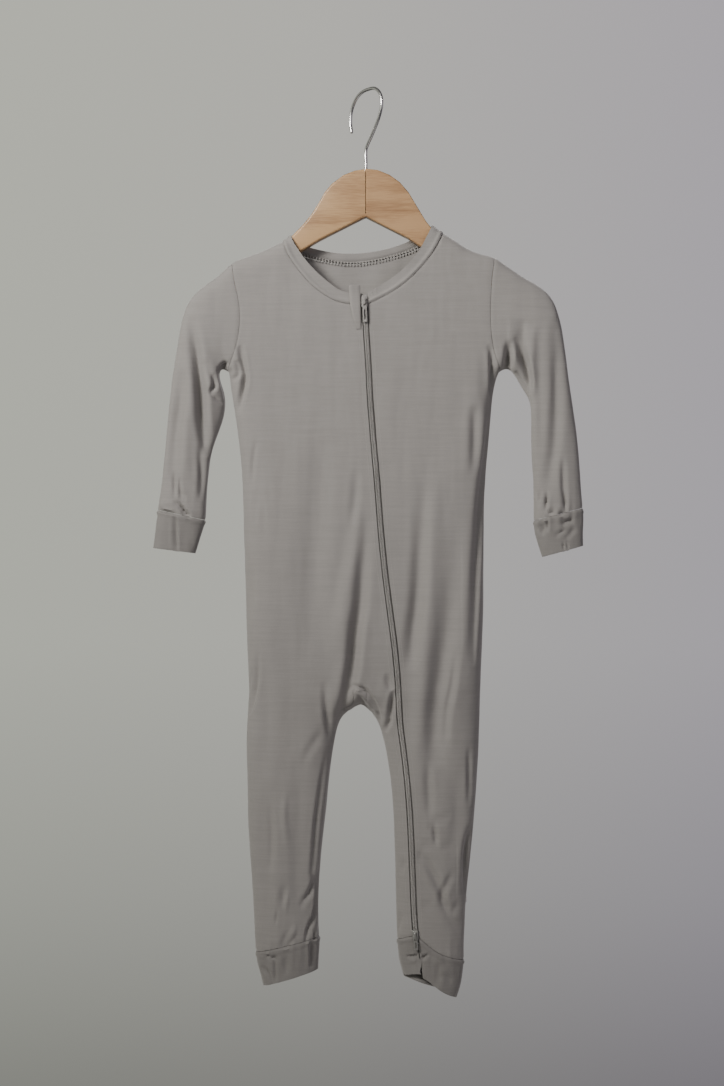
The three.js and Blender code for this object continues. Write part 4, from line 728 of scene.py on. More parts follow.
    def build(self) -> None:
        """Lay out every row of the body, yoke, band, legs, cuffs and sleeves."""
        rings = [self.body_row(row) for row in BODY_ROWS]
        for upper, lower in zip(rings, rings[1:]):
            self.join(lower[0], upper[0], self.front_piece)
            self.join(lower[1], upper[1], lambda _: Piece.BACK)
        yoke_front, yoke_back = self.build_yoke(rings[0])
        for front, _ in rings[1:]:
            self.keep_zip_row(front, self.zip_column)
        self.build_legs(rings[-1])
        for armhole, rows, cuff_rows, sleeve, cuff, way in (
            (0, RIGHT_SLEEVE_ROWS, RIGHT_SLEEVE_CUFF_ROWS, Piece.SLEEVE_RIGHT,
             Piece.SLEEVE_CUFF_RIGHT, -1),
            (-1, LEFT_SLEEVE_ROWS, LEFT_SLEEVE_CUFF_ROWS, Piece.SLEEVE_LEFT,
             Piece.SLEEVE_CUFF_LEFT, 1),
        ):
            loop = [row[armhole] for row in reversed(yoke_front)]
            loop += [row[-1 - armhole] for row in yoke_back[1:-1]]
            self.build_sleeve(loop, rows, cuff_rows, (sleeve, cuff), way)

    def keep_zip_row(self, front: list[int], edge: int) -> None:
        """Keep the front points beside the zip, for what is sewn under and over them."""
        self.zip_rows.append((front[max(0, edge - 4):edge + 1], front[edge + 1:edge + 6]))

    def build_yoke(self, base: Numbers
                   ) -> tuple[list[list[int]], list[list[int]]]:
        """Build the yoke and the neckband.

        Args:
            base: Front and back points of the underarm row.

        Returns:
            The yoke's rows of front points and of back points, the lowest first.
        """
        right_top = [along(RIGHT_SHOULDER, i / self.shoulder_right_steps)
                     for i in range(self.shoulder_right_steps + 1)]
        left_top = [along(LEFT_SHOULDER, i / self.shoulder_left_steps)
                    for i in range(self.shoulder_left_steps + 1)]
        front_tops = right_top[:-1] + self.front_neck(NECK_SEAM) + left_top[1:]
        back_tops = left_top[::-1][:-1] + self.back_neck(NECK_SEAM) + right_top[::-1][1:]
        fronts, backs = [base[0]], [base[1]]
        last, end = len(front_tops) - 1, len(back_tops) - 1
        for row in range(1, self.yoke_rows + 1):
            height = (1 - math.cos(math.pi * row / self.yoke_rows)) / 2
            front = [self.yoke_column(Side.FRONT, self.points[n], front_tops[i], height, i,
                                      last - i) for i, n in enumerate(base[0])]
            back = []
            for i, number in enumerate(base[1]):
                if row == self.yoke_rows and i <= self.shoulder_left_steps:
                    back.append(front[last - i])
                elif row == self.yoke_rows and i >= end - self.shoulder_right_steps:
                    back.append(front[end - i])
                else:
                    back.append(self.yoke_column(Side.BACK, self.points[number], back_tops[i],
                                                 height, end - i, i))
            self.join(fronts[-1], front, self.front_piece)
            self.join(backs[-1], back, lambda _: Piece.BACK)
            fronts.append(front)
            backs.append(back)
        self.build_band(fronts[-1], backs[-1], front_tops, back_tops)
        for row in reversed(fronts[:-1]):
            self.keep_zip_row(row, self.zip_column)
        return fronts, backs

    def build_band(self, front_seam: list[int], back_seam: list[int], front_tops: list[Point],
                   back_tops: list[Point]) -> None:
        """Carry the neck columns on from the neck seam to the band's free edge.

        Args:
            front_seam: Points of the front neck seam.
            back_seam: Points of the back neck seam.
            front_tops: Tops of the front columns.
            back_tops: Tops of the back columns.
        """
        first, start = self.shoulder_right_steps, self.shoulder_left_steps
        front_rows = [front_seam[first:len(front_seam) - start]]
        back_rows = [back_seam[start:len(back_seam) - first]]
        front_edge, back_edge = self.front_neck(NECK_EDGE), self.back_neck(NECK_EDGE)
        gap = self.neck_steps + self.centre_steps
        for share in (0.25, 0.5, 0.75, 1.0):
            front = []
            for seam, edge in zip(front_tops[first:], front_edge):
                front.append(self.yoke_point(Side.FRONT, mix(seam[0], edge[0], share),
                                             mix(seam[1], edge[1], share)))
            back = [front[-1]]
            for seam, edge in list(zip(back_tops[start:], back_edge))[1:-1]:
                back.append(self.yoke_point(Side.BACK, mix(seam[0], edge[0], share),
                                            mix(seam[1], edge[1], share)))
            back.append(front[0])
            self.join(front_rows[-1], front,
                      lambda i: Piece.OPEN if i == gap else Piece.NECKBAND)
            self.join(back_rows[-1], back, lambda _: Piece.NECKBAND)
            front_rows.append(front)
            back_rows.append(back)
        for row in reversed(front_rows):
            self.keep_zip_row(row, gap)

    def leg_height(self, row: LegRow, x: float) -> tuple[float, float]:
        """Return a leg row's height at x, and how far it is drawn up near the zip's end.

        Args:
            row: The row.
            x: Place across.

        Returns:
            The height and the lift.
        """
        share = (x - row.outer_x) / (row.inner_x - row.outer_x)
        lift = row.lift * math.exp(-(((x - row.zip) / self.lift_reach) ** 2))
        return mix(row.outer_z, row.inner_z, share), lift

    def right_leg_row(self, row: LegRow, inner: Optional[int]) -> Numbers:
        """Add one row of the right leg, from the outer fold to the inseam and back.

        Args:
            row: The row.
            inner: A point to share at the inseam, or None.

        Returns:
            Its front and back points.
        """
        shares = [self.side_spacing(i / self.right_steps, 1) for i in range(self.right_steps + 1)]

        def place(side: Side, share: float) -> int:
            """Add the point of a side at a share of the way across."""
            x = mix(row.outer_x, row.inner_x, share)
            depth = row.front if side is Side.FRONT else row.back
            return self.tube_point(side, x, self.leg_height(row, x)[0], row.outer_x, row.inner_x,
                                   depth)

        front = [place(Side.FRONT, share) for share in shares[:-1]]
        front.append(place(Side.FRONT, 1.0) if inner is None else inner)
        back = [place(Side.BACK, share) for share in reversed(shares[1:-1])]
        return front, [front[-1], *back, front[0]]

    def left_leg_row(self, row: LegRow, opening: float, inner: Optional[int]) -> Numbers:
        """Add one row of the left leg, from the inseam over the zip to the outer fold and back.

        Args:
            row: The row.
            opening: Half the gap at the zip.
            inner: A point to share at the inseam, or None.

        Returns:
            Its front and back points.
        """
        body = BodyRow(0, row.inner_x, row.inner_x, row.zip, row.outer_x, 0, 0)

        def place(side: Side, x: float) -> int:
            """Add the point of a side at a place across."""
            depth = row.front if side is Side.FRONT else row.back
            flat, lift = self.leg_height(row, x)
            z = flat + lift if side is Side.FRONT else flat
            return self.tube_point(side, x, z, row.inner_x, row.outer_x, depth)

        front = [place(Side.FRONT, x)
                 for x in self.front_columns(body, 1, opening)[self.right_steps:]]
        if inner is not None:
            front[0] = inner
        back = [place(Side.BACK, x) for x in self.back_columns(body, 1)[1:self.left_steps]]
        return front, [front[-1], *back, front[0]]

    def crotch_row(self, upper: Sequence[int], lower: Sequence[int], share: float,
                   ends: Optional[tuple[int, int]] = None) -> list[int]:
        """Add a row between the body and the legs, rounding in to the crotch point.

        Args:
            upper: Points above.
            lower: Points below.
            share: How far down between them.
            ends: End points to share, or None.

        Returns:
            The row's points.
        """
        dip = 1 - math.sqrt(1 - share * share)
        row = []
        for i, (above, below) in enumerate(zip(upper, lower)):
            if ends and i in (0, len(upper) - 1):
                row.append(ends[0] if i == 0 else ends[1])
                continue
            a, b = self.points[above], self.points[below]
            row.append(self.add(mix(a.x, b.x, share), mix(a.y, b.y, dip), mix(a.z, b.z, share)))
        return row

    def build_legs(self, body: Numbers) -> None:
        """Build the crotch, the gusset, both legs and their cuffs under the last body row.

        Args:
            body: Front and back points of that row.
        """
        first = RIGHT_LEG_ROWS[0]
        saddle = self.add(first.inner_x, 0, first.inner_z)
        right = [self.right_leg_row(row, None if i else saddle)
                 for i, row in enumerate(RIGHT_LEG_ROWS)]
        left = [self.left_leg_row(row, self.zip_half, None if i else saddle)
                for i, row in enumerate(LEFT_LEG_ROWS)]
        front_low = right[0][0] + left[0][0][1:]
        back_low = left[0][1] + right[0][1][1:]
        fronts, backs = [body[0]], [body[1]]
        for share in (0.4, 0.75):
            front = self.crotch_row(body[0], front_low, share)
            backs.append(self.crotch_row(body[1], back_low, share, (front[-1], front[0])))
            fronts.append(front)
            self.keep_zip_row(front, self.zip_column)
        fronts.append(front_low)
        backs.append(back_low)
        r, l = self.right_steps, self.left_steps
        for i in range(1, len(fronts)):
            columns = ((r - 1, r), (l - 1, l)) if i > 1 else ((), ())
            self.join(fronts[i], fronts[i - 1], self.gore(columns[0], self.front_piece))
            self.join(backs[i], backs[i - 1], self.gore(columns[1], lambda _: Piece.BACK))
        for i in range(1, len(right)):
            for leg, side, column, other in (
                (right, 0, r - 1, lambda _: Piece.FRONT_RIGHT),
                (right, 1, 0, lambda _: Piece.BACK),
                (left, 0, 0, lambda c: self.front_piece(c + r)),
                (left, 1, l - 1, lambda _: Piece.BACK),
            ):
                self.join(leg[i][side], leg[i - 1][side],
                          self.gore((column,) if i == 1 else (), other))
        for front, _ in left:
            self.keep_zip_row(front, self.centre_steps)
        upper = right[-1]
        for row in RIGHT_LEG_CUFF_ROWS:
            ring = self.right_leg_row(row, None)
            self.join(ring[0], upper[0], lambda _: Piece.LEG_CUFF_RIGHT)
            self.join(ring[1], upper[1], lambda _: Piece.LEG_CUFF_RIGHT)
            upper = ring
        upper = left[-1]
        for row in LEFT_LEG_CUFF_ROWS:
            ring = self.left_leg_row(row, self.slit_half, None)
            self.join(ring[0], upper[0], lambda c: (
                Piece.OPEN if c == self.centre_steps else Piece.LEG_CUFF_LEFT))
            self.join(ring[1], upper[1], lambda _: Piece.LEG_CUFF_LEFT)
            upper = ring

    def plain_ring(self, row: SleeveRow, count: int) -> list[Vector]:
        """Return a sleeve ring without the armhole's shape: top, front, underside, back.

        Args:
            row: The sleeve's row.
            count: Points round it.

        Returns:
            The ring's points.
        """
        ring = []
        for i in range(count):
            angle = 2 * math.pi * i / count
            share = (1 - math.cos(angle)) / 2
            stand = row.half * abs(math.sin(angle)) ** self.squareness
            ring.append(Vector((mix(row.outer_x, row.inner_x, share),
                                -stand if angle < math.pi else stand,
                                mix(row.outer_z, row.inner_z, share))))
        return ring

    def build_sleeve(self, armhole: list[int], rows: Sequence[SleeveRow],
                     cuff_rows: Sequence[SleeveRow], pieces: tuple[Piece, Piece],
                     way: int) -> None:
        """Build one sleeve with its cuff.

        Args:
            armhole: Numbers of the armhole's points.
            rows: Rings of the sleeve, the first at the armhole.
            cuff_rows: Rings of the cuff.
            pieces: The sleeve and its cuff.
            way: -1 for the right sleeve, 1 for the left one.
        """
        count = len(armhole)
        own = [self.points[n] - plain
               for n, plain in zip(armhole, self.plain_ring(rows[0], count))]
        kept = dict(enumerate(ARMHOLE_SHAPE_KEPT))
        upper = armhole
        for index, row in enumerate([*rows[1:], *cuff_rows], start=1):
            ring = [self.add(*(plain + own[i] * kept.get(index, 0.0)))
                    for i, plain in enumerate(self.plain_ring(row, count))]
            for i in range(count):
                nxt = (i + 1) % count
                patch = (upper[i], ring[i], ring[nxt], upper[nxt])
                self.quads.append(patch if way < 0 else patch[::-1])
                self.pieces.append(pieces[0] if index < len(rows) else pieces[1])
            upper = ring

    def zip_frame(self, z: float) -> Matrix:
        """Return the directions across, inwards and up on the zip at a height, in metres.

        Args:
            z: Height.

        Returns:
            The placement.
        """

        def row_point(row: Numbers, across: float) -> Vector:
            """Return the point of a zip row at a distance from its middle."""
            numbers = [*row[0], *row[1]]
            middle = (self.points[row[0][-1]].x + self.points[row[1][0]].x) / 2
            i = 0
            while i < len(numbers) - 2 and self.points[numbers[i + 1]].x < middle + across:
                i += 1
            a, b = self.points[numbers[i]], self.points[numbers[i + 1]]
            return a.lerp(b, (middle + across - a.x) / (b.x - a.x))

        def zip_point(at: float, across: float) -> Vector:
            """Return the point at a height and a distance from the zip's middle."""
            heights = [row_point(row, 0).z for row in self.zip_rows]
            i = 0
            while i < len(heights) - 2 and heights[i + 1] > at:
                i += 1
            share = (at - heights[i]) / (heights[i + 1] - heights[i])
            return row_point(self.zip_rows[i], across).lerp(
                row_point(self.zip_rows[i + 1], across), share)

        up = (zip_point(z + 4, 0) - zip_point(z - 4, 0)).normalized()
        side = (zip_point(z, 2) - zip_point(z, -2)).normalized()
        inward = up.cross(side).normalized()
        across = inward.cross(up).normalized()
        place = Matrix((across, inward, up)).transposed().to_4x4()
        place.translation = zip_point(z, 0) * MM
        return place


def select_only(obj: Object) -> None:
    """Select one object and make it the active one.

    Args:
        obj: The object.
    """
    bpy.ops.object.select_all(action="DESELECT")
    obj.select_set(True)
    bpy.context.view_layer.objects.active = obj


def finish_with(obj: Object, kind: str, **settings: object) -> None:
    """Add a modifier to an object and apply it.

    Args:
        obj: The object.
        kind: The modifier's type.
        **settings: Values of its settings.
    """
    modifier = obj.modifiers.new(kind.lower(), kind)
    for name, value in settings.items():
        setattr(modifier, name, value)
    select_only(obj)
    bpy.ops.object.modifier_apply(modifier=modifier.name)


def new_block(size: Sequence[float]) -> Object:
    """Add a block to be shaped.

    Args:
        size: Its reach along X, Y and Z.

    Returns:
        The block, about the origin and the only thing selected.
    """
    bpy.ops.object.select_all(action="DESELECT")
    bpy.ops.mesh.primitive_cube_add(size=1)
    obj = bpy.context.object
    obj.scale = size
    bpy.ops.object.transform_apply(scale=True)
    return obj


def edit_mesh(selected: str = "SELECT") -> None:
    """Go into edit mode with everything selected, or nothing."""
    bpy.ops.object.mode_set(mode="EDIT")
    bpy.ops.mesh.select_all(action=selected)


def leave_edit(outward: bool = False) -> None:
    """Go back to object mode, first turning every face outward where that is asked."""
    if outward:
        bpy.ops.mesh.select_all(action="SELECT")
        bpy.ops.mesh.normals_make_consistent(inside=False)
    bpy.ops.object.mode_set(mode="OBJECT")


def smooth(obj: Object, degrees: float = 40.0) -> None:
    """Shade an object smooth, with sharp edges beyond an angle."""
    select_only(obj)
    bpy.ops.object.shade_smooth_by_angle(angle=math.radians(degrees))


def make_object(name: str, points: np.ndarray, faces: Sequence[Sequence[int]]) -> Object:
    """Make an object from points in millimetres.

    Args:
        name: Name of the object and its mesh.
        points: Rows of x, y and z.
        faces: Point numbers of each face.

    Returns:
        The new object, linked to the scene.
    """
    mesh = bpy.data.meshes.new(name)
    mesh.from_pydata((np.asarray(points) * MM).tolist(), [], [tuple(f) for f in faces])
    mesh.validate()
    obj = bpy.data.objects.new(name, mesh)
    bpy.context.scene.collection.objects.link(obj)
    return obj


def dress(obj: Object, material: Material, body: str = BODY) -> None:
    """Give an object its only material and the body it rides on.

    Args:
        obj: The object.
        material: Its finish.
        body: The body it rides on.
    """
    obj.data.materials.clear()
    obj.data.materials.append(material)
    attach(obj, body)


@dataclass
class Surface:
    """Outside of the finished garment, to lay sewing and trim on. Millimetres."""

    tree: BVHTree

    def touch(self, x: float, z: float, side: Side, inside: bool = False
              ) -> Optional[tuple[Vector, Vector]]:
        """Find where the cloth is, seen straight from the front or back.

        Args:
            x: Place across.
            z: Height.
            side: The side that it is looked for on.
            inside: Look from the middle outwards.

        Returns:
            The point and the outward direction there, or None where there is no cloth.
        """
        start, way = Vector((x, side.value * 90.0, z)), Vector((0, -side.value, 0))
        if inside:
            start, way = Vector((x, 0, z)), Vector((0, side.value, 0))
        hit, normal, _, _ = self.tree.ray_cast(start, way)
        if hit is None:
            return None
        return hit, normal if normal.y * side.value > 0 else -normal


@dataclass
class Stamp:
    """One small shape that is copied many times into a single mesh."""

    points: np.ndarray
    faces: np.ndarray

    @classmethod
    def grain(cls, length: float, width: float, height: float) -> "Stamp":
        """Model one rounded grain, such as a stitch or a tooth, lying along X.

        Args:
            length: Reach along X.
            width: Reach along Y.
            height: Reach along Z.

        Returns:
            The stamp.
        """
        obj = new_block((length, width, height))
        finish_with(obj, "BEVEL", width=0.3 * min(width, height), segments=1,
                    limit_method="NONE")
        mesh = obj.data
        mesh.calc_loop_triangles()
        points = np.array([v.co[:] for v in mesh.vertices])
        faces = np.array([t.vertices[:] for t in mesh.loop_triangles])
        bpy.data.objects.remove(obj)
        return cls(points, faces)

    def copies(self, name: str, places: Sequence[Matrix]) -> Object:
        """Lay a copy at every place and keep them as one object.

        Args:
            name: Name of the object.
            places: One placement a copy.

        Returns:
            The object.
        """
        points = np.concatenate([self.points @ np.array(p.to_3x3()).T + np.array(p.translation)
                                 for p in places])
        faces = np.concatenate([self.faces + i * len(self.points) for i in range(len(places))])
        return make_object(name, points, faces.tolist())


@dataclass
class GarmentCloth:
    """The cut and sewn pieces of jersey as thin shells with their creases and seams."""

    form: GarmentForm
    levels: int = 3
    panel_wall: float = 1.2
    cuff_wall: float = 2.0
    band_wall: float = 1.6
    seam_back: float = 0.15
    seam_dip: float = 0.36
    seam_reach: float = 1.5
    proud: float = 0.9
    hang_depth: float = 0.55
    ruffle_depth: float = 1.05
    crease_share: float = 1.3
    flap_lift: float = 6.5
    slit: Line = ((44.8, -755.0), (46.0, -764.0), (48.1, -778.2), (50.4, -794.8))
    slit_seam: Line = ((27, -770), (88, -789))
    slit_reach: float = 26.0
    flap_width: float = 24.0
    flap_wave: float = 1.5
    flap_stand: float = 1.8
    rear_middle: float = 48.0
    rear_width: float = 19.0
    rear_lift: float = 2.8
    sunk_width: float = 14.0
    sunk_depth: float = 2.6
    points: np.ndarray = field(default_factory=lambda: np.zeros((0, 3)))
    normals: np.ndarray = field(default_factory=lambda: np.zeros((0, 3)))
    corners: np.ndarray = field(default_factory=lambda: np.zeros((0, 4), int))
    owners: np.ndarray = field(default_factory=lambda: np.zeros(0, int))

    DOUBLED = (Piece.SLEEVE_CUFF_RIGHT, Piece.SLEEVE_CUFF_LEFT, Piece.LEG_CUFF_RIGHT,
               Piece.LEG_CUFF_LEFT, Piece.NECKBAND)

    def refine(self) -> None:
        """Subdivide the whole garment at once, so that neighbouring pieces stay together."""
        kept = [(q, p) for q, p in zip(self.form.quads, self.form.pieces) if p is not Piece.OPEN]
        mesh = bpy.data.meshes.new("whole_garment")
        mesh.from_pydata([tuple(p * MM) for p in self.form.points], [], [q for q, _ in kept])
        for _ in PIECES:
            mesh.materials.append(None)
        mesh.polygons.foreach_set("material_index", [PIECES.index(p) for _, p in kept])
        obj = bpy.data.objects.new("whole_garment", mesh)
        bpy.context.scene.collection.objects.link(obj)
        finish_with(obj, "SUBSURF", levels=self.levels, boundary_smooth="PRESERVE_CORNERS")
        mesh = obj.data
        values = np.empty(len(mesh.vertices) * 3)
        mesh.vertices.foreach_get("co", values)
        self.points = values.reshape(-1, 3) / MM
        mesh.vertices.foreach_get("normal", values)
        self.normals = values.reshape(-1, 3).copy()
        numbers = np.empty(len(mesh.loops), int)
        mesh.loops.foreach_get("vertex_index", numbers)
        self.corners = numbers.reshape(-1, 4)
        self.owners = np.empty(len(mesh.polygons), int)
        mesh.polygons.foreach_get("material_index", self.owners)
        bpy.data.objects.remove(obj)

    def part_slit(self) -> None:
        """Lift the flap beside the left cuff's slit and let the back layer show under it."""
        cuff = np.unique(self.corners[self.owners == PIECES.index(Piece.LEG_CUFF_LEFT)])
        for number in cuff:
            x, y, z = self.points[number]
            slit = read_line(self.slit, 1, z)
            low = clamp01((read_line(self.slit_seam, 0, x) - z) / self.slit_reach)
            if y > 0:
                near = math.exp(-(((x - self.rear_middle) / self.rear_width) ** 2))
                self.points[number, 1] -= self.flap_stand * y * low * near
                self.points[number, 2] += self.rear_lift * low**1.5 * near
            elif x < slit:
                near = clamp01(1 - (slit - x) / self.flap_width)
                self.points[number, 2] += self.flap_lift * low**1.5 * near
                self.points[number, 1] -= self.flap_stand * low * near
                self.points[number, 0] += (self.flap_wave * math.sin(2.6 * math.pi * low)
                                           * near**3)
            else:
                near = clamp01(1 - (x - slit) / self.sunk_width)
                self.points[number, 1] += self.sunk_depth * low * near

    def press(self, creases: Sequence[Crease]) -> None:
        """Press the creases into the cloth, fading out where it turns away sideways.

        Args:
            creases: The creases.
        """
        depth = np.zeros(len(self.points))
        flat = self.points[:, [0, 2]]
        for crease in creases:
            line = smooth_line(crease.line, 2.0)
            reach = 2.6 * crease.width
            near = np.nonzero(np.all((flat > line.min(0) - reach) & (flat < line.max(0) + reach),
                                     axis=1) & (self.normals[:, 1] * crease.side.value > 0.02))[0]
            away = flat[near][:, None, :] - line[None]
            place = np.argmin((away**2).sum(2), axis=1)
            way = np.gradient(line, axis=0)
            step = np.linalg.norm(way, axis=1, keepdims=True)
            way = way / step
            own, ahead = away[np.arange(len(near)), place], way[place]
            run = np.clip((own * ahead).sum(1) / step[place, 0], -0.5, 0.5)
            share = np.clip((place + run) / (len(line) - 1), 0, 1)
            off = (own[:, 1] * ahead[:, 0] - own[:, 0] * ahead[:, 1]) / crease.width
            off = off * (1 + crease.lean * np.sign(off))
            power = math.log(0.5) / math.log(crease.peak)
            taper = np.sin(math.pi * share**power) ** 0.7
            depth[near] += crease.depth * taper * (1 - off**2) * np.exp(-(off**2))
        facing = np.clip((np.abs(self.normals[:, 1]) - 0.1) / 0.5, 0, 1)
        facing = facing * facing * (3 - 2 * facing)
        self.points -= self.normals * (self.crease_share * depth * facing)[:, None]

    def ruffle(self) -> None:
        """Add the small unevenness of hanging jersey, stronger above the cuffs."""
        hems = np.array([(-142, -380), (174, -382), (-70, -768), (58, -778)], float)
        offsets = np.empty(len(self.points))
        for i, (x, y, z) in enumerate(self.points):
            side = 40.0 if y > 0 else 0.0
            value = self.hang_depth * noise.noise((x / 15, side + y / 60, z / 70))
            value += 0.35 * self.hang_depth * noise.noise((x / 6, side + 9.0, z / 19))
            lift = min(abs(z - hem_z) + max(0.0, abs(x - hem_x) - 55) * 3 for hem_x, hem_z in hems)
            if lift < 45:
                strength = (1 - lift / 45) ** 2 * self.ruffle_depth
                value += strength * noise.noise((x / 5.5, side + 3.0, z / 24))
            offsets[i] = value
        self.points += self.normals * offsets[:, None]

    def surface(self) -> Surface:
        """Return the outside of the garment for laying sewing on."""
        return Surface(BVHTree.FromPolygons(self.points.tolist(), self.corners.tolist()))

    def free_edges(self, corners: np.ndarray) -> np.ndarray:
        """Return the numbers of the points on edges that have a single face.

        Args:
            corners: The four corners of each face.

        Returns:
            The points' numbers.
        """
        pairs = np.concatenate([np.sort(np.stack([corners[:, i], corners[:, (i + 1) % 4]], 1), 1)
                                for i in range(4)])
        edges, counts = np.unique(pairs, axis=0, return_counts=True)
        return np.unique(edges[counts == 1])

    def edge_line(self, piece: Piece) -> np.ndarray:
        """Return the points of a panel's edge beside the zip, from the top down.

        Args:
            piece: The panel.

        Returns:
            The points.
        """
        free = self.free_edges(self.corners)
        own = np.unique(self.corners[self.owners == PIECES.index(piece)])
        line = self.points[np.intersect1d(free, own)]
        return line[np.argsort(-line[:, 2])]

    def wall_of(self, piece: Piece) -> float:
        """Return how thick a piece's wall is."""
        if piece is Piece.NECKBAND:
            return self.band_wall
        return self.cuff_wall if piece in self.DOUBLED else self.panel_wall

    def cut(self, piece: Piece, sewn: np.ndarray) -> Object:
        """Cut one piece out of the whole garment and give it its wall.

        Args:
            piece: The piece.
            sewn: Marks the points that lie on a seam.

        Returns:
            The finished shell.
        """
        faces = self.corners[self.owners == PIECES.index(piece)]
        used, local = np.unique(faces, return_inverse=True)
        local = local.reshape(-1, 4)
        points, normals, on_seam = self.points[used].copy(), self.normals[used], sewn[used]
        inward = np.zeros_like(points)
        middles = points[local].mean(axis=1)
        for i in range(4):
            np.add.at(inward, local[:, i], middles - points[local[:, i]])
        length = np.linalg.norm(inward, axis=1, keepdims=True)
        inward = inward / np.maximum(length, 1e-9)
        away = self.distance(points, points[on_seam])
        if piece in self.DOUBLED:
            lift = self.proud * np.exp(-(((away - 2.2) / 1.7) ** 2)) - 0.35 * (away < 0.01)
        else:
            lift = -self.seam_dip * np.exp(-((away / self.seam_reach) ** 2))
        points += normals * lift[:, None]
        points[on_seam] += inward[on_seam] * self.seam_back
        obj = make_object(f"{piece.value}_cloth", points, local.tolist())
        finish_with(obj, "SOLIDIFY", thickness=self.wall_of(piece) * MM, offset=-1,
                    use_even_offset=False)
        if piece in self.DOUBLED:
            finish_with(obj, "BEVEL", width=0.55 * MM, segments=3, limit_method="ANGLE",
                        angle_limit=math.radians(55))
        smooth(obj, 50)
        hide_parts(piece.value)
        return obj

    @staticmethod
    def distance(points: np.ndarray, marks: np.ndarray) -> np.ndarray:
        """Return how far each point is from the nearest mark.

        Args:
            points: The points.
            marks: The marks.

        Returns:
            One distance for each point.
        """
        if len(marks) == 0:
            return np.full(len(points), 1e3)
        tree = KDTree(len(marks))
        for i, mark in enumerate(marks):
            tree.insert(mark, i)
        tree.balance()
        return np.array([tree.find(point)[2] for point in points])

    def sewn_points(self) -> np.ndarray:
        """Mark the points that two pieces share.

        Returns:
            One mark for each point.
        """
        seen = np.zeros(len(self.points), int)
        for index in range(len(PIECES) - 1):
            seen[np.unique(self.corners[self.owners == index])] += 1
        return seen > 1

    def build(self, jersey: Material, cuff_shade_jersey: Material) -> dict[Piece, Object]:
        """Cut, wall and dress every piece.

        Args:
            jersey: The knit that the panels and the band are cut from.
            cuff_shade_jersey: The same knit for the cuffs, folded double, and darker as painted
                shade where the light falls off there.

        Returns:
            The shells by piece.
        """
        sewn = self.sewn_points()
        shells = {}
        for piece in PIECES[:-1]:
            shells[piece] = self.cut(piece, sewn)
            cuff = piece in self.DOUBLED and piece is not Piece.NECKBAND
            # Cuffs take the darker jersey: painted shade where the light falls off at the cuffs.
            dress(shells[piece], cuff_shade_jersey if cuff else jersey)
            LOG.info("%s: %d faces", piece.value, len(shells[piece].data.polygons))
        return shells


@dataclass(frozen=True)
class Row:
    """One row of stitches: line, pitch, length, turn in degrees, depth in the cloth, stoutness."""

    name: str
    line: Line
    pitch: float
    length: float
    turn: float = 0.0
    side: Side = Side.FRONT
    inside: bool = False
    sink: float = 0.05
    stout: float = 1.0


@dataclass
class Sewing:
    """Rows of stitches laid on the cloth. Millimetres."""

    surface: Surface
    thread_width: float = 0.42
    thread_height: float = 0.3

    def places(self, row: Row) -> list[Matrix]:
        """Find where the stitches of a row lie.

        Args:
            row: The row.

        Returns:
            One placement for each stitch.
        """
        hits = [self.surface.touch(x, z, row.side, row.inside)
                for x, z in smooth_line(row.line, row.pitch)]
        found = [hit for hit in hits if hit is not None]
        result = []
        for i, (point, normal) in enumerate(found):
            before, after = found[max(0, i - 1)][0], found[min(len(found) - 1, i + 1)][0]
            if not 1e-6 <= (after - before).length <= 4 * row.pitch:
                continue
            up = -normal if row.inside else normal
            way = (after - before).normalized()
            way = (way - up * way.dot(up)).normalized()
            way = Matrix.Rotation(math.radians(row.turn), 3, up) @ way
            place = Matrix((way, up.cross(way), up)).transposed().to_4x4()
            place.translation = point - up * row.sink
            result.append(place)
        return result

    def neck_line(self, part: str, share: float, trim: float = 0.0) -> list[Point]:
        """Return a line between the neck seam and the band's edge.

        Args:
            part: Which part of the neck.
            share: 0 on the seam, 1 on the edge.
            trim: Share of the line left out at both ends.

        Returns:
            Points of x and z.
        """
        line = []
        for i in range(25):
            place = mix(trim, 1 - trim, i / 24)
            seam, edge = along(NECK_SEAM[part], place), along(NECK_EDGE[part], place)
            line.append((mix(seam[0], edge[0], share), mix(seam[1], edge[1], share)))
        return line


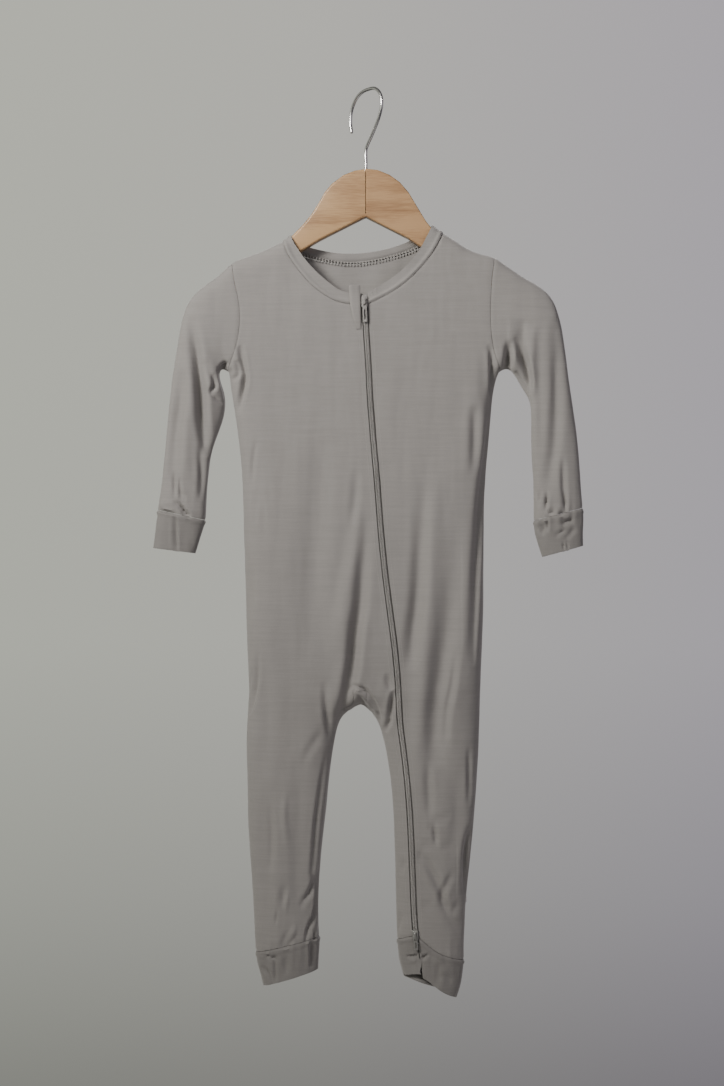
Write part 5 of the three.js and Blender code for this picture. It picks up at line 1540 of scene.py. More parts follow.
@dataclass
class Zip:
    """Two tapes with interlocked coils, following the edges of the front panels."""

    right_edge: np.ndarray
    left_edge: np.ndarray
    surface: Surface
    top: float = -185.0
    bottom: float = -757.5
    tape_columns: Triple = (1.0, 3.2, 6.5)
    tape_depths: tuple[float, float] = (1.0, 1.7)
    tape_under: float = 1.9
    tape_wall: float = 0.6
    pitch: float = 1.15
    tooth_length: float = 2.0
    tooth_width: float = 0.72
    tooth_height: float = 1.5

    def edge_at(self, edge: np.ndarray, z: float) -> Vector:
        """Return the point of a panel's edge at a height."""
        rising = edge[::-1]
        return Vector((np.interp(z, rising[:, 2], rising[:, 0]),
                       np.interp(z, rising[:, 2], rising[:, 1]), z))

    def frame(self, z: float) -> Matrix:
        """Return the directions across, up and out on the zip at a height.

        Args:
            z: Height.

        Returns:
            The placement.
        """
        right, left = self.edge_at(self.right_edge, z), self.edge_at(self.left_edge, z)
        higher = (self.edge_at(self.right_edge, z + 3) + self.edge_at(self.left_edge, z + 3)) / 2
        lower = (self.edge_at(self.right_edge, z - 3) + self.edge_at(self.left_edge, z - 3)) / 2
        up = (higher - lower).normalized()
        across = (left - right).normalized()
        out = across.cross(up).normalized()
        across = up.cross(out).normalized()
        place = Matrix((across, up, out)).transposed().to_4x4()
        place.translation = (right + left) / 2
        return place

    def middle(self) -> list[tuple[float, float]]:
        """Return the zip's middle line as points of x and z."""
        return [(self.frame(z).translation.x, z)
                for z in np.arange(self.top, self.bottom, -4.0)]

    def tapes(self, woven: Material) -> None:
        """Weave the two tapes, which run out under the panels."""
        for name, way in (("right", -1), ("left", 1)):
            points, faces = [], []
            heights = np.arange(self.top + 2, self.bottom - 2, -2.0)
            for row, z in enumerate(heights):
                frame = self.frame(float(z))
                for column, across in enumerate(self.tape_columns):
                    place = frame @ Vector((way * across, 0, -self.tape_depths[column == 1]))
                    hit = self.surface.touch(place.x, place.z, Side.FRONT)
                    if column == 2 and hit is not None:
                        place = hit[0] - hit[1] * self.tape_under
                    points.append(place)
                    if row and column:
                        below = row * 3 + column
                        face = (below - 1, below, below - 3, below - 4)
                        faces.append(face if way > 0 else face[::-1])
            obj = make_object(f"zip_tape_{name}_woven", np.array(points), faces)
            finish_with(obj, "SUBSURF", levels=1)
            finish_with(obj, "SOLIDIFY", thickness=self.tape_wall * MM, offset=-1)
            smooth(obj)
            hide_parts(f"zip_tape_{name}")
            dress(obj, woven)

    def coils(self, nylon: Material) -> None:
        """Lay the teeth of both coils, each row half a pitch from the other."""
        tooth = Stamp.grain(self.tooth_length, self.tooth_width, self.tooth_height)
        for name, way, shift in (("right", -1, 0.0), ("left", 1, 0.5)):
            places = []
            for i in range(int((self.top - self.bottom) / self.pitch)):
                place = self.frame(self.top - (i + shift) * self.pitch)
                places.append(place @ Matrix.Translation((way * 0.92, 0, -0.35))
                              @ Matrix.Rotation(math.radians(7 * way), 4, "Z"))
            obj = tooth.copies(f"zip_coil_{name}_teeth", places)
            smooth(obj, 60)
            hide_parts(f"zip_coil_{name}")
            dress(obj, nylon)
            LOG.info("zip coil %s: %d teeth", name, len(places))


@dataclass
class Slider:
    """A zip slider with its pull tab, modelled in the zip's own directions. Millimetres."""

    name: str
    place: Matrix
    slot: str
    length: float
    nose: int
    tab_length: float
    width: float = 5.6
    plate: float = 1.0
    front: float = 0.9
    back: float = 3.1
    tab_width: float = 4.0
    tab_thick: float = 0.9

    def slab(self, size: Triple, middle: Triple,
             rounding: float, taper: float = 1.0) -> Object:
        """Model one rounded slab whose nose end is narrower.

        Args:
            size: Width, thickness and height.
            middle: Its middle.
            rounding: Width of the rounded edges.
            taper: Width of the nose end as a share of the other.

        Returns:
            The slab.
        """
        obj = new_block([value * MM for value in size])
        edit_mesh()
        bpy.ops.mesh.subdivide(number_cuts=2)
        leave_edit()
        for vertex in obj.data.vertices:
            along_nose = vertex.co.z * self.nose / (size[2] * MM) + 0.5
            vertex.co.x *= mix(1.0, taper, along_nose**2)
            vertex.co += Vector(middle) * MM
        finish_with(obj, "BEVEL", width=rounding * MM, segments=3, limit_method="ANGLE",
                    angle_limit=math.radians(40))
        return obj

    def body(self) -> Object:
        """Model the two shields, the wedge between them and the bridge.

        Returns:
            The body.
        """
        depth = self.front + self.plate / 2
        face = -(self.front + self.plate)
        parts = [
            self.slab((self.width, self.plate, self.length), (0, -depth, 0), 0.4, 0.82),
            self.slab((self.width, self.plate, self.length),
                      (0, self.back + self.plate / 2, 0), 0.3, 0.82),
            self.slab((1.2, self.back + self.front + 0.2, 2.0),
                      (0, (self.back - self.front) / 2, self.nose * (self.length / 2 - 1)), 0.2),
            self.slab((1.9, 0.9, 5.4), (0, face - 1.85, 0), 0.35),
            self.slab((1.9, 2.2, 1.1), (0, face - 1.0, -2.15), 0.3),
            self.slab((1.9, 2.2, 1.1), (0, face - 1.0, 2.15), 0.3),
        ]
        for way in (-1, 1):
            parts.append(self.slab((0.6, 1.4, self.length - 2.4),
                                   (way * (self.width / 2 - 0.4), -0.4, 0), 0.2))
        return self.joined(parts, f"slider_{self.name}_body")

    def tab(self) -> Object:
        """Model the pull tab with its window for the bridge and a long slot.

        Returns:
            The tab.
        """
        out = -(self.front + self.plate + 0.3 + self.tab_thick / 2)
        tab = self.slab((self.tab_width, self.tab_thick, self.tab_length),
                        (0, out, 0.1 - self.tab_length / 2), 0.3)
        window = self.slab((2.2, 4.0, 3.7), (0, out, -2.55), 0.5)
        slot = self.slab((1.3, 4.0, self.tab_length * 0.4), (0, out, -self.tab_length * 0.66), 0.5)
        for hole in (window, slot):
            finish_with(tab, "BOOLEAN", object=hole, operation="DIFFERENCE", solver="EXACT")
            bpy.data.objects.remove(hole)
        return self.joined([tab], f"pull_{self.name}_tab")

    def joined(self, parts: list[Object], name: str) -> Object:
        """Join the parts, lay them on the zip and name the result.

        Args:
            parts: The parts.
            name: The result's name.

        Returns:
            The result.
        """
        bpy.ops.object.select_all(action="DESELECT")
        for part in parts:
            part.select_set(True)
        bpy.context.view_layer.objects.active = parts[0]
        if len(parts) > 1:
            bpy.ops.object.join()
        obj = bpy.context.view_layer.objects.active
        obj.data.transform(self.place)
        obj.data.update()
        obj.name = obj.data.name = name
        smooth(obj, 35)
        return obj

    def build(self, metal: Material) -> None:
        """Model and dress the slider and its tab.

        Args:
            metal: Its finish.
        """
        body, tab = self.body(), self.tab()
        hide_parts(f"slider_{self.name}")
        dress(body, metal)
        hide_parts(f"pull_{self.name}")
        dress(tab, metal, f"pull_{self.name}")
        LOG.info("slider %s and its tab", self.name)


@dataclass
class ZipGuard:
    """Folded strip of jersey sewn over the top of the zip's right edge."""

    surface: Surface
    wall: float = 1.3
    standoff: float = 0.35
    rows: Sequence[Triple] = (
        (-175.8, -15.3, -5.2), (-179.5, -15.2, -5.1), (-183.5, -14.9, -5.1),
        (-188.0, -14.7, -5.0), (-192.0, -14.4, -4.9), (-198.0, -13.2, -4.7),
        (-204.0, -11.9, -4.6), (-215.0, -8.8, -4.6),
    )

    def build(self, jersey: Material) -> None:
        """Lay the strip on the cloth, rounded towards its fold.

        Args:
            jersey: Its cloth.
        """
        points, faces = [], []
        columns = 8
        for row, (z, start, end) in enumerate(self.rows):
            for i in range(columns + 1):
                share = i / columns
                x = mix(start, end, share)
                base = self.surface.touch(x, min(z, -184.5), Side.FRONT)
                y = base[0].y if base else -12.0
                sewn_down = clamp01((z + 216) / 16)
                fold = 0.9 * (1 - abs(2 * share - 1) ** 4) * sewn_down
                lean = max(0.0, z + 184) * 0.1
                stand = mix(0.3, self.standoff + self.wall, sewn_down)
                points.append((x, y - stand - fold - lean, z))
                if row and i:
                    below = row * (columns + 1) + i
                    faces.append((below - 1, below, below - columns - 1, below - columns - 2))
        obj = make_object("zip_guard_strip", np.array(points), faces)
        finish_with(obj, "SUBSURF", levels=2, boundary_smooth="PRESERVE_CORNERS")
        finish_with(obj, "SOLIDIFY", thickness=self.wall * MM, offset=-1)
        finish_with(obj, "BEVEL", width=0.45 * MM, segments=2, limit_method="ANGLE",
                    angle_limit=math.radians(55))
        smooth(obj, 50)
        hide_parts("zip_guard")
        dress(obj, jersey)


@dataclass
class SideLabel:
    """Tiny folded tag caught in the left side seam, left blank. Millimetres."""

    x: float = 85.0
    z: float = -726.3
    out: float = 5.6
    tall: float = 5.4
    thick: float = 1.0

    def build(self, satin: Material) -> None:
        """Fold the tag: a slab whose outer end is rounded.

        Args:
            satin: Its ribbon.
        """
        obj = new_block((self.out * MM, self.thick * MM, self.tall * MM))
        obj.data.transform(Matrix.Translation(
            Vector((self.x + self.out / 2, 0, self.z)) * MM))
        edit_mesh("DESELECT")
        leave_edit()
        for edge in obj.data.edges:
            ends = [obj.data.vertices[n].co for n in edge.vertices]
            edge.select = all(end.x > (self.x + self.out * 0.9) * MM for end in ends) \
                and abs(ends[0].z - ends[1].z) > 1 * MM
        bpy.ops.object.mode_set(mode="EDIT")
        bpy.ops.mesh.bevel(offset=0.42 * self.thick * MM, segments=4)
        bpy.ops.mesh.select_all(action="SELECT")
        bpy.ops.mesh.subdivide(number_cuts=1)
        leave_edit()
        obj.name = obj.data.name = "side_label_tag"
        smooth(obj, 50)
        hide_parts("side_label")
        dress(obj, satin)


@dataclass
class Hanger:
    """Wooden child's hanger: two arms joined at the middle and a wire hook. Millimetres."""

    ease: float = 2.6
    wire: float = 3.0
    turn: float = 33.6
    path: Sequence[Point] = (
        (0, -77), (0, -64), (0, -52.5), (3.2, -47.2), (9.8, -40.2), (20.3, -27.2),
        (25.2, -15.5), (22.8, -6.0), (14.5, 0.4), (3, 1.7), (-7.5, 0.6), (-17, -4.2),
        (-23.6, -13), (-25.2, -24), (-23.6, -32),
    )

    def arm(self, name: str, sections: Sequence[tuple[float, float, float, float]],
            wood: Material) -> None:
        """Draw one arm out section by section from its end grain at the glue line.

        Args:
            name: right or left.
            sections: x, top, bottom and half the thickness of each section.
            wood: Its wood.
        """
        x, top, bottom, half = sections[0]
        bpy.ops.object.select_all(action="DESELECT")
        bpy.ops.mesh.primitive_plane_add(size=1)
        obj = bpy.context.object
        turned = Matrix(((0, 0, 1, x), (0, 2 * half, 0, 0),
                         (top - bottom, 0, 0, (top + bottom) / 2), (0, 0, 0, 1)))
        for vertex in obj.data.vertices:
            vertex.co = turned @ vertex.co * MM
        edit_mesh()
        for start, end in zip(sections, sections[1:]):
            middles = [(s[1] + s[2]) / 2 for s in (start, end)]
            step = ((end[0] - start[0]) * MM, 0, (middles[1] - middles[0]) * MM)
            bpy.ops.mesh.extrude_region_move(TRANSFORM_OT_translate={"value": step})
            bpy.ops.transform.resize(
                value=(1, end[3] / start[3], (end[1] - end[2]) / (start[1] - start[2])),
                center_override=(end[0] * MM, 0, middles[1] * MM))
        leave_edit(outward=True)
        finish_with(obj, "BEVEL", width=self.ease * MM, segments=5, limit_method="ANGLE",
                    angle_limit=math.radians(60))
        obj.name = obj.data.name = f"hanger_arm_{name}_wood"
        smooth(obj, 40)
        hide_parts(f"hanger_arm_{name}")
        dress(obj, wood)
        LOG.info("hanger arm %s: %d faces", name, len(obj.data.polygons))

    def hook(self, steel: Material) -> None:
        """Bend the wire along its path, with a rounded free end.

        Args:
            steel: Its finish.
        """
        turn = math.radians(self.turn)
        route = [(out * math.sin(turn), -out * math.cos(turn), z) for out, z in self.path]
        line = [Vector(p) for p in smooth_line(route, 1.6)]
        sides = 16
        points, faces = [], []
        normal = Vector((math.cos(turn), math.sin(turn), 0))
        tip = (line[-1] - line[-2]).normalized()
        rings = [(point, 1.0) for point in line]
        rings += [(line[-1] + tip * reach, size)
                  for reach, size in ((0.45, 0.95), (1.0, 0.75), (1.35, 0.35))]
        for row, (middle, size) in enumerate(rings):
            before = rings[max(0, row - 1)][0]
            after = rings[min(len(rings) - 1, row + 1)][0]
            way = (after - before).normalized()
            across = way.cross(normal).normalized()
            for i in range(sides):
                angle = 2 * math.pi * i / sides
                points.append(middle + (normal * math.cos(angle) + across * math.sin(angle))
                              * self.wire / 2 * size)
                if row:
                    nxt = (i + 1) % sides
                    a, b = (row - 1) * sides + i, (row - 1) * sides + nxt
                    faces.append((a, b, row * sides + nxt, row * sides + i))
        faces.append(tuple(range(sides))[::-1])
        last = (len(rings) - 1) * sides
        faces.append(tuple(range(last, last + sides)))
        obj = make_object("hook_wire", np.array(points), faces)
        select_only(obj)
        edit_mesh()
        leave_edit(outward=True)
        smooth(obj, 60)
        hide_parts("hook")
        dress(obj, steel)

    def build(self, light: Material, warm: Material, steel: Material) -> None:
        """Build both arms, each let a little into the other at the glue line, and the hook."""
        for name, own, other, wood in (("right", RIGHT_ARM, LEFT_ARM, light),
                                       ("left", LEFT_ARM, RIGHT_ARM, warm)):
            x = own[0][0] + math.copysign(0.9 * self.ease, own[0][0] - own[1][0])
            end = [float(np.interp(x, *zip(*sorted((row[0], row[i]) for row in other))))
                   for i in (1, 2, 3)]
            self.arm(name, ((x, *end), *own), wood)
        self.hook(steel)


@dataclass
class Recipe:
    """Short way to lay out the nodes of one material."""

    name: str

    def __post_init__(self) -> None:
        """Start the material with its plain shader."""
        self.material = bpy.data.materials.new(self.name)
        self.material.use_nodes = True
        self.nodes = self.material.node_tree.nodes
        self.links = self.material.node_tree.links
        self.shader = self.nodes["Principled BSDF"]
        self.place = self.nodes.new("ShaderNodeTexCoord").outputs["Object"]

    def set(self, **values: object) -> None:
        """Set the shader's own sockets; an underscore stands for a space."""
        for name, value in values.items():
            self.shader.inputs[name.replace("_", " ")].default_value = value

    def stretched(self, scale: Triple, turn: Triple = (0, 0, 0)) -> NodeSocket:
        """Return the object's own coordinates, turned and stretched.

        Args:
            scale: Stretch along X, Y and Z.
            turn: Turn about X, Y and Z, in radians.

        Returns:
            The coordinates.
        """
        node = self.nodes.new("ShaderNodeMapping")
        node.inputs["Scale"].default_value = scale
        node.inputs["Rotation"].default_value = turn
        self.links.new(self.place, node.inputs["Vector"])
        return node.outputs["Vector"]

    def grain(self, vector: NodeSocket, detail: float, roughness: float = 0.5,
              distortion: float = 0.0) -> NodeSocket:
        """Return the value of a noise texture.

        Args:
            vector: The coordinates.
            detail: Number of finer layers.
            roughness: Weight of the finer layers.
            distortion: How far it swirls.

        Returns:
            The value.
        """
        node = self.nodes.new("ShaderNodeTexNoise")
        for name, value in (("Scale", 1.0), ("Detail", detail), ("Roughness", roughness),
                            ("Distortion", distortion)):
            node.inputs[name].default_value = value
        self.links.new(vector, node.inputs["Vector"])
        return node.outputs["Fac"]

    def sum(self, *parts: tuple[NodeSocket, float]) -> NodeSocket:
        """Return the weighted sum of several values.

        Args:
            parts: Each value with its weight.

        Returns:
            The sum.
        """
        total = None
        for value, weight in parts:
            node = self.nodes.new("ShaderNodeMath")
            node.operation = "MULTIPLY_ADD"
            self.links.new(value, node.inputs[0])
            node.inputs[1].default_value = weight
            node.inputs[2].default_value = 0.0
            if total is not None:
                self.links.new(total, node.inputs[2])
            total = node.outputs[0]
        return total

    def colours(self, value: NodeSocket, stops: Sequence[tuple[float, Triple]]) -> None:
        """Colour the shader by a value, from stops of place and colour.

        Args:
            value: The value.
            stops: Place and colour of each stop.
        """
        node = self.nodes.new("ShaderNodeValToRGB")
        elements = node.color_ramp.elements
        while len(elements) < len(stops):
            elements.new(0.5)
        for element, (place, colour) in zip(elements, stops):
            element.position = place
            element.color = (*colour, 1)
        self.links.new(value, node.inputs["Fac"])
        self.links.new(node.outputs["Color"], self.shader.inputs["Base Color"])

    def rough(self, value: NodeSocket, low: float, high: float) -> None:
        """Vary the roughness between two values.

        Args:
            value: The value.
            low: Roughness at 0.
            high: Roughness at 1.
        """
        node = self.nodes.new("ShaderNodeMapRange")
        node.inputs["To Min"].default_value = low
        node.inputs["To Max"].default_value = high
        self.links.new(value, node.inputs["Value"])
        self.links.new(node.outputs["Result"], self.shader.inputs["Roughness"])

    def bump(self, value: NodeSocket, depth: float, strength: float = 1.0) -> None:
        """Raise the surface by a value; depth is in metres.

        Args:
            value: The value.
            depth: Height of 1, in metres.
            strength: Share of it that shows.
        """
        node = self.nodes.new("ShaderNodeBump")
        node.inputs["Strength"].default_value = strength
        node.inputs["Distance"].default_value = depth
        self.links.new(value, node.inputs["Height"])
        self.links.new(node.outputs["Normal"], self.shader.inputs["Normal"])


def shade(level: float, tint: Triple) -> Triple:
    """Return a tint at a level of brightness."""
    return tuple(level * part for part in tint)


@dataclass(frozen=True)
class Jersey:
    """Fine single knit in taupe grey, with faint uneven courses across it."""

    name: str = "taupe_jersey"
    tint: Triple = (1.0, 0.94, 0.885)
    level: float = 0.2
    course: float = 0.0013
    contrast: float = 0.075

    def make(self) -> Material:
        """Lay out the knit: stretched courses, fine loops and slow shade changes.

        Returns:
            The material.
        """
        recipe = Recipe(self.name)
        step = 1 / self.course
        courses = recipe.grain(recipe.stretched((34, 34, step)), 2.0, 0.6)
        broad = recipe.grain(recipe.stretched((12, 12, step / 3.1)), 1.0)
        loops = recipe.grain(recipe.stretched((1500, 1500, 1300)), 1.0)
        slow = recipe.grain(recipe.stretched((9, 9, 9)), 2.0)
        value = recipe.sum((courses, 0.5), (broad, 0.12), (loops, 0.38))
        tone = recipe.sum((value, 0.85), (slow, 0.15))
        low, high = self.level * (1 - self.contrast), self.level * (1 + self.contrast)
        recipe.colours(tone, ((0.36, shade(low, self.tint)), (0.64, shade(high, self.tint))))
        recipe.rough(slow, 0.82, 0.92)
        recipe.bump(value, 0.0001, 0.7)
        recipe.set(Specular_IOR_Level=0.25, Sheen_Weight=0.25, Sheen_Roughness=0.5,
                   Sheen_Tint=(0.9, 0.87, 0.85, 1))
        return recipe.material


@dataclass(frozen=True)
class Finish:
    """Finish of one even grain: thread, nylon, bare metal, satin ribbon or plaster."""

    name: str
    colour: Triple
    stretch: Triple
    detail: float
    shades: tuple[float, float]
    roughness: tuple[float, float] = (0.5, 0.5)
    bump: float = 0.0
    settings: tuple[tuple[str, float], ...] = ()

    def make(self) -> Material:
        """Lay out the grain, which shades, roughens and raises the surface together.

        Returns:
            The material.
        """
        recipe = Recipe(self.name)
        grain = recipe.grain(recipe.stretched(self.stretch), self.detail)
        dark, light = (shade(level, self.colour) for level in self.shades)
        recipe.colours(grain, ((0.3, dark), (0.7, light)))
        if self.bump:
            recipe.rough(grain, *self.roughness)
            recipe.bump(grain, self.bump)
        recipe.set(**dict(self.settings))
        return recipe.material


THREAD = Finish("sewing_thread", (0.23, 0.215, 0.2), (2600, 2600, 2600), 1.0, (0.85, 1.12),
                (0.55, 0.75), 0.00008, (("Sheen_Weight", 0.2),))
NYLON = Finish("zip_coil_nylon", (0.27, 0.255, 0.24), (700, 700, 700), 2.0, (0.88, 1.1),
               (0.34, 0.5), 0.00003, (("Specular_IOR_Level", 0.45),))
ZINC = Finish("slider_zinc", (0.33, 0.322, 0.312), (500, 500, 60), 3.0, (0.93, 1.0),
              (0.42, 0.52), 0.00001, (("Metallic", 1.0),))
WIRE = Finish("polished_wire", (0.62, 0.61, 0.6), (500, 500, 60), 3.0, (0.93, 1.0),
              (0.24, 0.32), 0.00001, (("Metallic", 1.0),))
SATIN = Finish("label_satin", (0.62, 0.60, 0.57), (60, 60, 3000), 1.0, (0.9, 1.0),
               (0.45, 0.6), 0.00005)
PLASTER = Finish("studio_floor", (0.42, 0.41, 0.405), (3, 3, 3), 2.0, (0.97, 1.0),
                 settings=(("Roughness", 0.9),))


@dataclass(frozen=True)
class WovenTape:
    """Tightly woven zip tape with fine ribs along it."""

    name: str = "zip_tape_weave"
    colour: Triple = (0.21, 0.2, 0.19)

    def make(self) -> Material:
        """Lay out ribs along the tape and its cross threads.

        Returns:
            The material.
        """
        recipe = Recipe(self.name)
        ribs = recipe.grain(recipe.stretched((1400, 30, 30)), 1.0)
        picks = recipe.grain(recipe.stretched((60, 60, 1700)), 1.0)
        weave = recipe.sum((ribs, 0.5), (picks, 0.5))
        recipe.colours(weave, ((0.35, shade(0.82, self.colour)), (0.65, shade(1.15, self.colour))))
        recipe.rough(weave, 0.7, 0.85)
        recipe.bump(weave, 0.0001)
        return recipe.material


@dataclass(frozen=True)
class Coating:
    """Matt dyed coating of the top slider, worn a little along its edges."""

    name: str = "slider_coating"
    colour: Triple = (0.17, 0.16, 0.15)
    worn: Triple = (0.3, 0.285, 0.27)

    def make(self) -> Material:
        """Lay out the coating and its worn edges.

        Returns:
            The material.
        """
        recipe = Recipe(self.name)
        cloud = recipe.grain(recipe.stretched((900, 900, 900)), 3.0)
        point = recipe.nodes.new("ShaderNodeNewGeometry").outputs["Pointiness"]
        wear = recipe.sum((point, 1.0), (cloud, 0.12))
        recipe.colours(wear, ((0.56, self.colour), (0.68, self.worn)))
        recipe.rough(cloud, 0.45, 0.6)
        recipe.bump(cloud, 0.00003)
        recipe.set(Specular_IOR_Level=0.3)
        return recipe.material


@dataclass(frozen=True)
class Wood:
    """Clear varnished beech, its grain running down the arm."""

    name: str
    light: Triple
    dark: Triple
    slope: float

    def make(self) -> Material:
        """Lay out long grain, small flecks and the varnish.

        Returns:
            The material.
        """
        recipe = Recipe(self.name)
        turn = (0, math.radians(self.slope), 0)
        figure = recipe.grain(recipe.stretched((9, 60, 60), turn), 3.0, 0.55, 0.4)
        flecks = recipe.grain(recipe.stretched((70, 900, 900), turn), 2.0, 0.6)
        cloud = recipe.grain(recipe.stretched((22, 22, 22)), 1.0)
        tone = recipe.sum((figure, 0.5), (flecks, 0.3), (cloud, 0.2))
        recipe.colours(tone, ((0.34, self.dark), (0.52, shade(0.94, self.light)),
                              (0.68, self.light)))
        recipe.rough(flecks, 0.34, 0.46)
        recipe.bump(flecks, 0.00006, 0.7)
        recipe.set(Coat_Weight=0.25, Coat_Roughness=0.25, Specular_IOR_Level=0.4)
        return recipe.material


class Lamp(NamedTuple):
    """One square soft box, in metres and watts, its spread in degrees."""

    name: str
    place: Triple
    target: Triple
    size: float
    power: float
    colour: Triple
    spread: float


@dataclass
class Studio:
    """Camera, soft lights, graded surroundings and floor. Metres."""

    eye: Triple = (-0.0036, -1.8, -0.4059)
    lens: float = 66.3
    floor_height: float = -1.3
    floor_radius: float = 1.4
    height_grade: Sequence[tuple[float, Triple]] = (
        (-1.0, (0.05, 0.05, 0.05)), (-0.36, (0.10, 0.10, 0.10)), (-0.26, (0.237, 0.234, 0.22)),
        (-0.17, (0.36, 0.358, 0.335)), (-0.05, (0.49, 0.488, 0.45)),
        (0.27, (0.55, 0.54, 0.50)), (0.36, (0.16, 0.16, 0.15)), (1.0, (0.10, 0.10, 0.095)),
    )
    side_grade: Sequence[tuple[float, Triple]] = (
        (-0.19, (1.02, 1.05, 0.99)), (-0.02, (1.0, 1.0, 1.0)), (0.19, (0.86, 0.82, 0.97)),
    )

    lamps: Sequence[Lamp] = (
        Lamp("key", (-0.95, -1.05, 0.45), (0, 0, -0.08), 0.5, 9.6, (1.0, 0.985, 0.955), 84),
        Lamp("fill", (1.2, -1.2, 0.2), (0, 0, -0.1), 0.9, 2.3, (0.95, 0.93, 1.0), 110),
        Lamp("behind", (0.5, 1.5, 0.85), (0, 0, -0.4), 0.7, 8, (0.98, 0.98, 1.0), 84),
        Lamp("floor_wash", (0, 0, -1.0), (0, 0, -1.3), 1.8, 9, (1.0, 0.99, 0.97), 180),
    )

    def camera(self) -> None:
        """Stand the camera level in front of the garment."""
        camera = bpy.data.objects.new("camera", bpy.data.cameras.new("camera"))
        camera.data.lens = self.lens
        camera.data.sensor_width = 36
        camera.location = self.eye
        camera.rotation_euler = (math.radians(90), 0, 0)
        bpy.context.scene.collection.objects.link(camera)
        bpy.context.scene.camera = camera

    def light(self, lamp: Lamp) -> None:
        """Hang one soft box, unseen by the camera. Only the key shows in glossy surfaces.

        Args:
            lamp: What it is and where it hangs.
        """
        data = bpy.data.lights.new(lamp.name, "AREA")
        data.shape, data.size, data.size_y = "RECTANGLE", lamp.size, lamp.size
        data.energy, data.color, data.spread = lamp.power, lamp.colour, math.radians(lamp.spread)
        box = bpy.data.objects.new(lamp.name, data)
        box.location = lamp.place
        box.visible_camera = False
        box.visible_glossy = lamp.name == "key"
        way = Vector(lamp.target) - Vector(lamp.place)
        box.rotation_euler = way.to_track_quat("-Z", "Y").to_euler()
        bpy.context.scene.collection.objects.link(box)

    def surroundings(self) -> None:
        """Grade the surroundings: pale level with the garment, darker below and overhead."""
        world = bpy.data.worlds.new("studio")
        bpy.context.scene.world = world
        world.use_nodes = True
        nodes, links = world.node_tree.nodes, world.node_tree.links
        way = nodes.new("ShaderNodeTexCoord").outputs["Generated"]
        split = nodes.new("ShaderNodeSeparateXYZ")
        links.new(way, split.inputs[0])
        ramps = []
        for axis, reach, stops in (("Z", 1.0, self.height_grade), ("X", 0.2, self.side_grade)):
            place = nodes.new("ShaderNodeMapRange")
            place.inputs["From Min"].default_value = -reach
            place.inputs["From Max"].default_value = reach
            ramp = nodes.new("ShaderNodeValToRGB")
            while len(ramp.color_ramp.elements) < len(stops):
                ramp.color_ramp.elements.new(0.5)
            for element, (position, colour) in zip(ramp.color_ramp.elements, stops):
                element.position = (position / reach + 1) / 2
                element.color = (*colour, 1)
            links.new(split.outputs[axis], place.inputs["Value"])
            links.new(place.outputs["Result"], ramp.inputs["Fac"])
            ramps.append(ramp.outputs["Color"])
        mixer = nodes.new("ShaderNodeMix")
        mixer.data_type, mixer.blend_type = "RGBA", "MULTIPLY"
        mixer.inputs["Factor"].default_value = 1.0
        links.new(ramps[0], mixer.inputs["A"])
        links.new(ramps[1], mixer.inputs["B"])
        links.new(mixer.outputs["Result"], nodes["Background"].inputs["Color"])

    def floor(self, finish: Material) -> None:
        """Lay the round floor under everything.

        Args:
            finish: Its finish.
        """
        bpy.ops.object.select_all(action="DESELECT")
        bpy.ops.mesh.primitive_circle_add(vertices=96, radius=self.floor_radius,
                                          fill_type="NGON",
                                          location=(0, 0, self.floor_height))
        floor = bpy.context.object
        floor.name = floor.data.name = "studio_floor"
        floor.data.materials.append(finish)

    def build(self, finish: Material) -> None:
        """Set up the whole studio.

        Args:
            finish: The floor's finish.
        """
        self.camera()
        for lamp in self.lamps:
            self.light(lamp)
        self.surroundings()
        self.floor(finish)


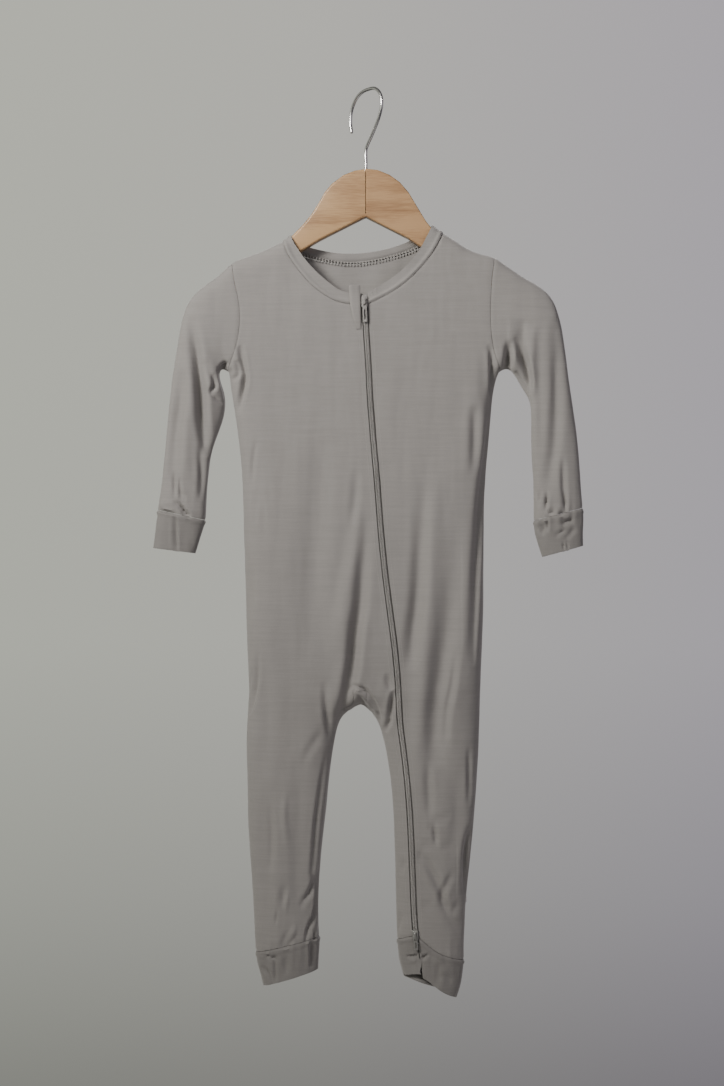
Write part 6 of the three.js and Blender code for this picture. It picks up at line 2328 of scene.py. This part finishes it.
@dataclass
class Onesie:
    """The whole garment: cloth, sewing, zip, sliders, guard and label. Millimetres."""

    form: GarmentForm = field(default_factory=GarmentForm)
    top_slider: float = -190
    bottom_slider: float = -756
    stitch_top: float = -214
    stitch_bottom: float = -748
    stitch_right: float = 6.6
    stitch_left: float = 6.4

    def build(self) -> None:
        """Build and dress every piece in the order that it is made."""
        self.form.build()
        cloth = GarmentCloth(self.form)
        cloth.refine()
        cloth.part_slit()
        cloth.press([Crease(Side.FRONT, *row) for row in FRONT_CREASES]
                    + [Crease(Side.BACK, *row) for row in BACK_CREASES])
        cloth.ruffle()
        surface = cloth.surface()
        jersey = Jersey().make()
        # The cuffs' jersey is darker: painted shade where the light falls off at the cuffs.
        shells = cloth.build(jersey, Jersey("taupe_jersey_cuff_painted_shade", level=0.16).make())
        ZipGuard(surface).build(jersey)
        SideLabel().build(SATIN.make())
        zipper = Zip(cloth.edge_line(Piece.FRONT_RIGHT), cloth.edge_line(Piece.FRONT_LEFT),
                     surface)
        zipper.tapes(WovenTape().make())
        zipper.coils(NYLON.make())
        Slider("top", self.form.zip_frame(self.top_slider), "slider_coated",
               length=10, nose=1, tab_length=19).build(Coating().make())
        Slider("bottom", self.form.zip_frame(self.bottom_slider), "slider_metal",
               length=9, nose=-1, tab_length=13).build(ZINC.make())
        self.sew(Sewing(surface), zipper)

    def sew(self, sewing: Sewing, zipper: Zip) -> None:
        """Lay the visible stitches.

        Args:
            sewing: Where the stitches lie.
            zipper: The zip they follow.
        """
        thread = THREAD.make()
        middle = zipper.middle()
        beside = [(x, z) for x, z in middle if self.stitch_top > z > self.stitch_bottom]
        rows = [
            Row("zip_topstitch_right", [(x - self.stitch_right, z) for x, z in beside], 2.4, 1.9),
            Row("zip_topstitch_left", [(x + self.stitch_left, z) for x, z in beside], 2.4, 1.9),
            Row("bar_tack_inner", ((4.9, -179.5), (4.9, -188.5)), 0.55, 1.7, 90),
            Row("bar_tack_outer", ((8.6, -178.0), (8.6, -186.5)), 0.55, 1.7, 90),
        ]
        for part in ("front_right", "front_left"):
            rows.append(Row(f"neck_topstitch_{part}", sewing.neck_line(part, 0.3, 0.02), 1.9, 1.5))
        for part in ("back_right", "back_left"):
            rows.append(Row(f"neck_cover_stitch_{part}", sewing.neck_line(part, 0.1, 0.0),
                            2.9, 4.3, 90, Side.BACK, inside=True, sink=-2.0, stout=2.6))
            rows.append(Row(f"neck_back_topstitch_{part}", sewing.neck_line(part, 0.3, 0.0),
                            1.9, 1.5, side=Side.BACK))
        for row in rows:
            places = sewing.places(row)
            stitch = Stamp.grain(row.length, row.stout * sewing.thread_width,
                                 row.stout * sewing.thread_height)
            dress(stitch.copies(row.name, places), thread)
            LOG.info("%s: %d stitches", row.name, len(places))


def main() -> None:
    """Build the studio, the hanger and the garment."""
    logging.basicConfig(level=logging.INFO, format="%(message)s")
    Studio().build(PLASTER.make())
    Hanger().build(
        Wood("beech_light", (0.4, 0.245, 0.12), (0.23, 0.125, 0.058), 28).make(),
        Wood("beech_warm", (0.365, 0.218, 0.106), (0.21, 0.11, 0.05), -28).make(),
        WIRE.make())
    Onesie().build()


if __name__ == "__main__":
    main()
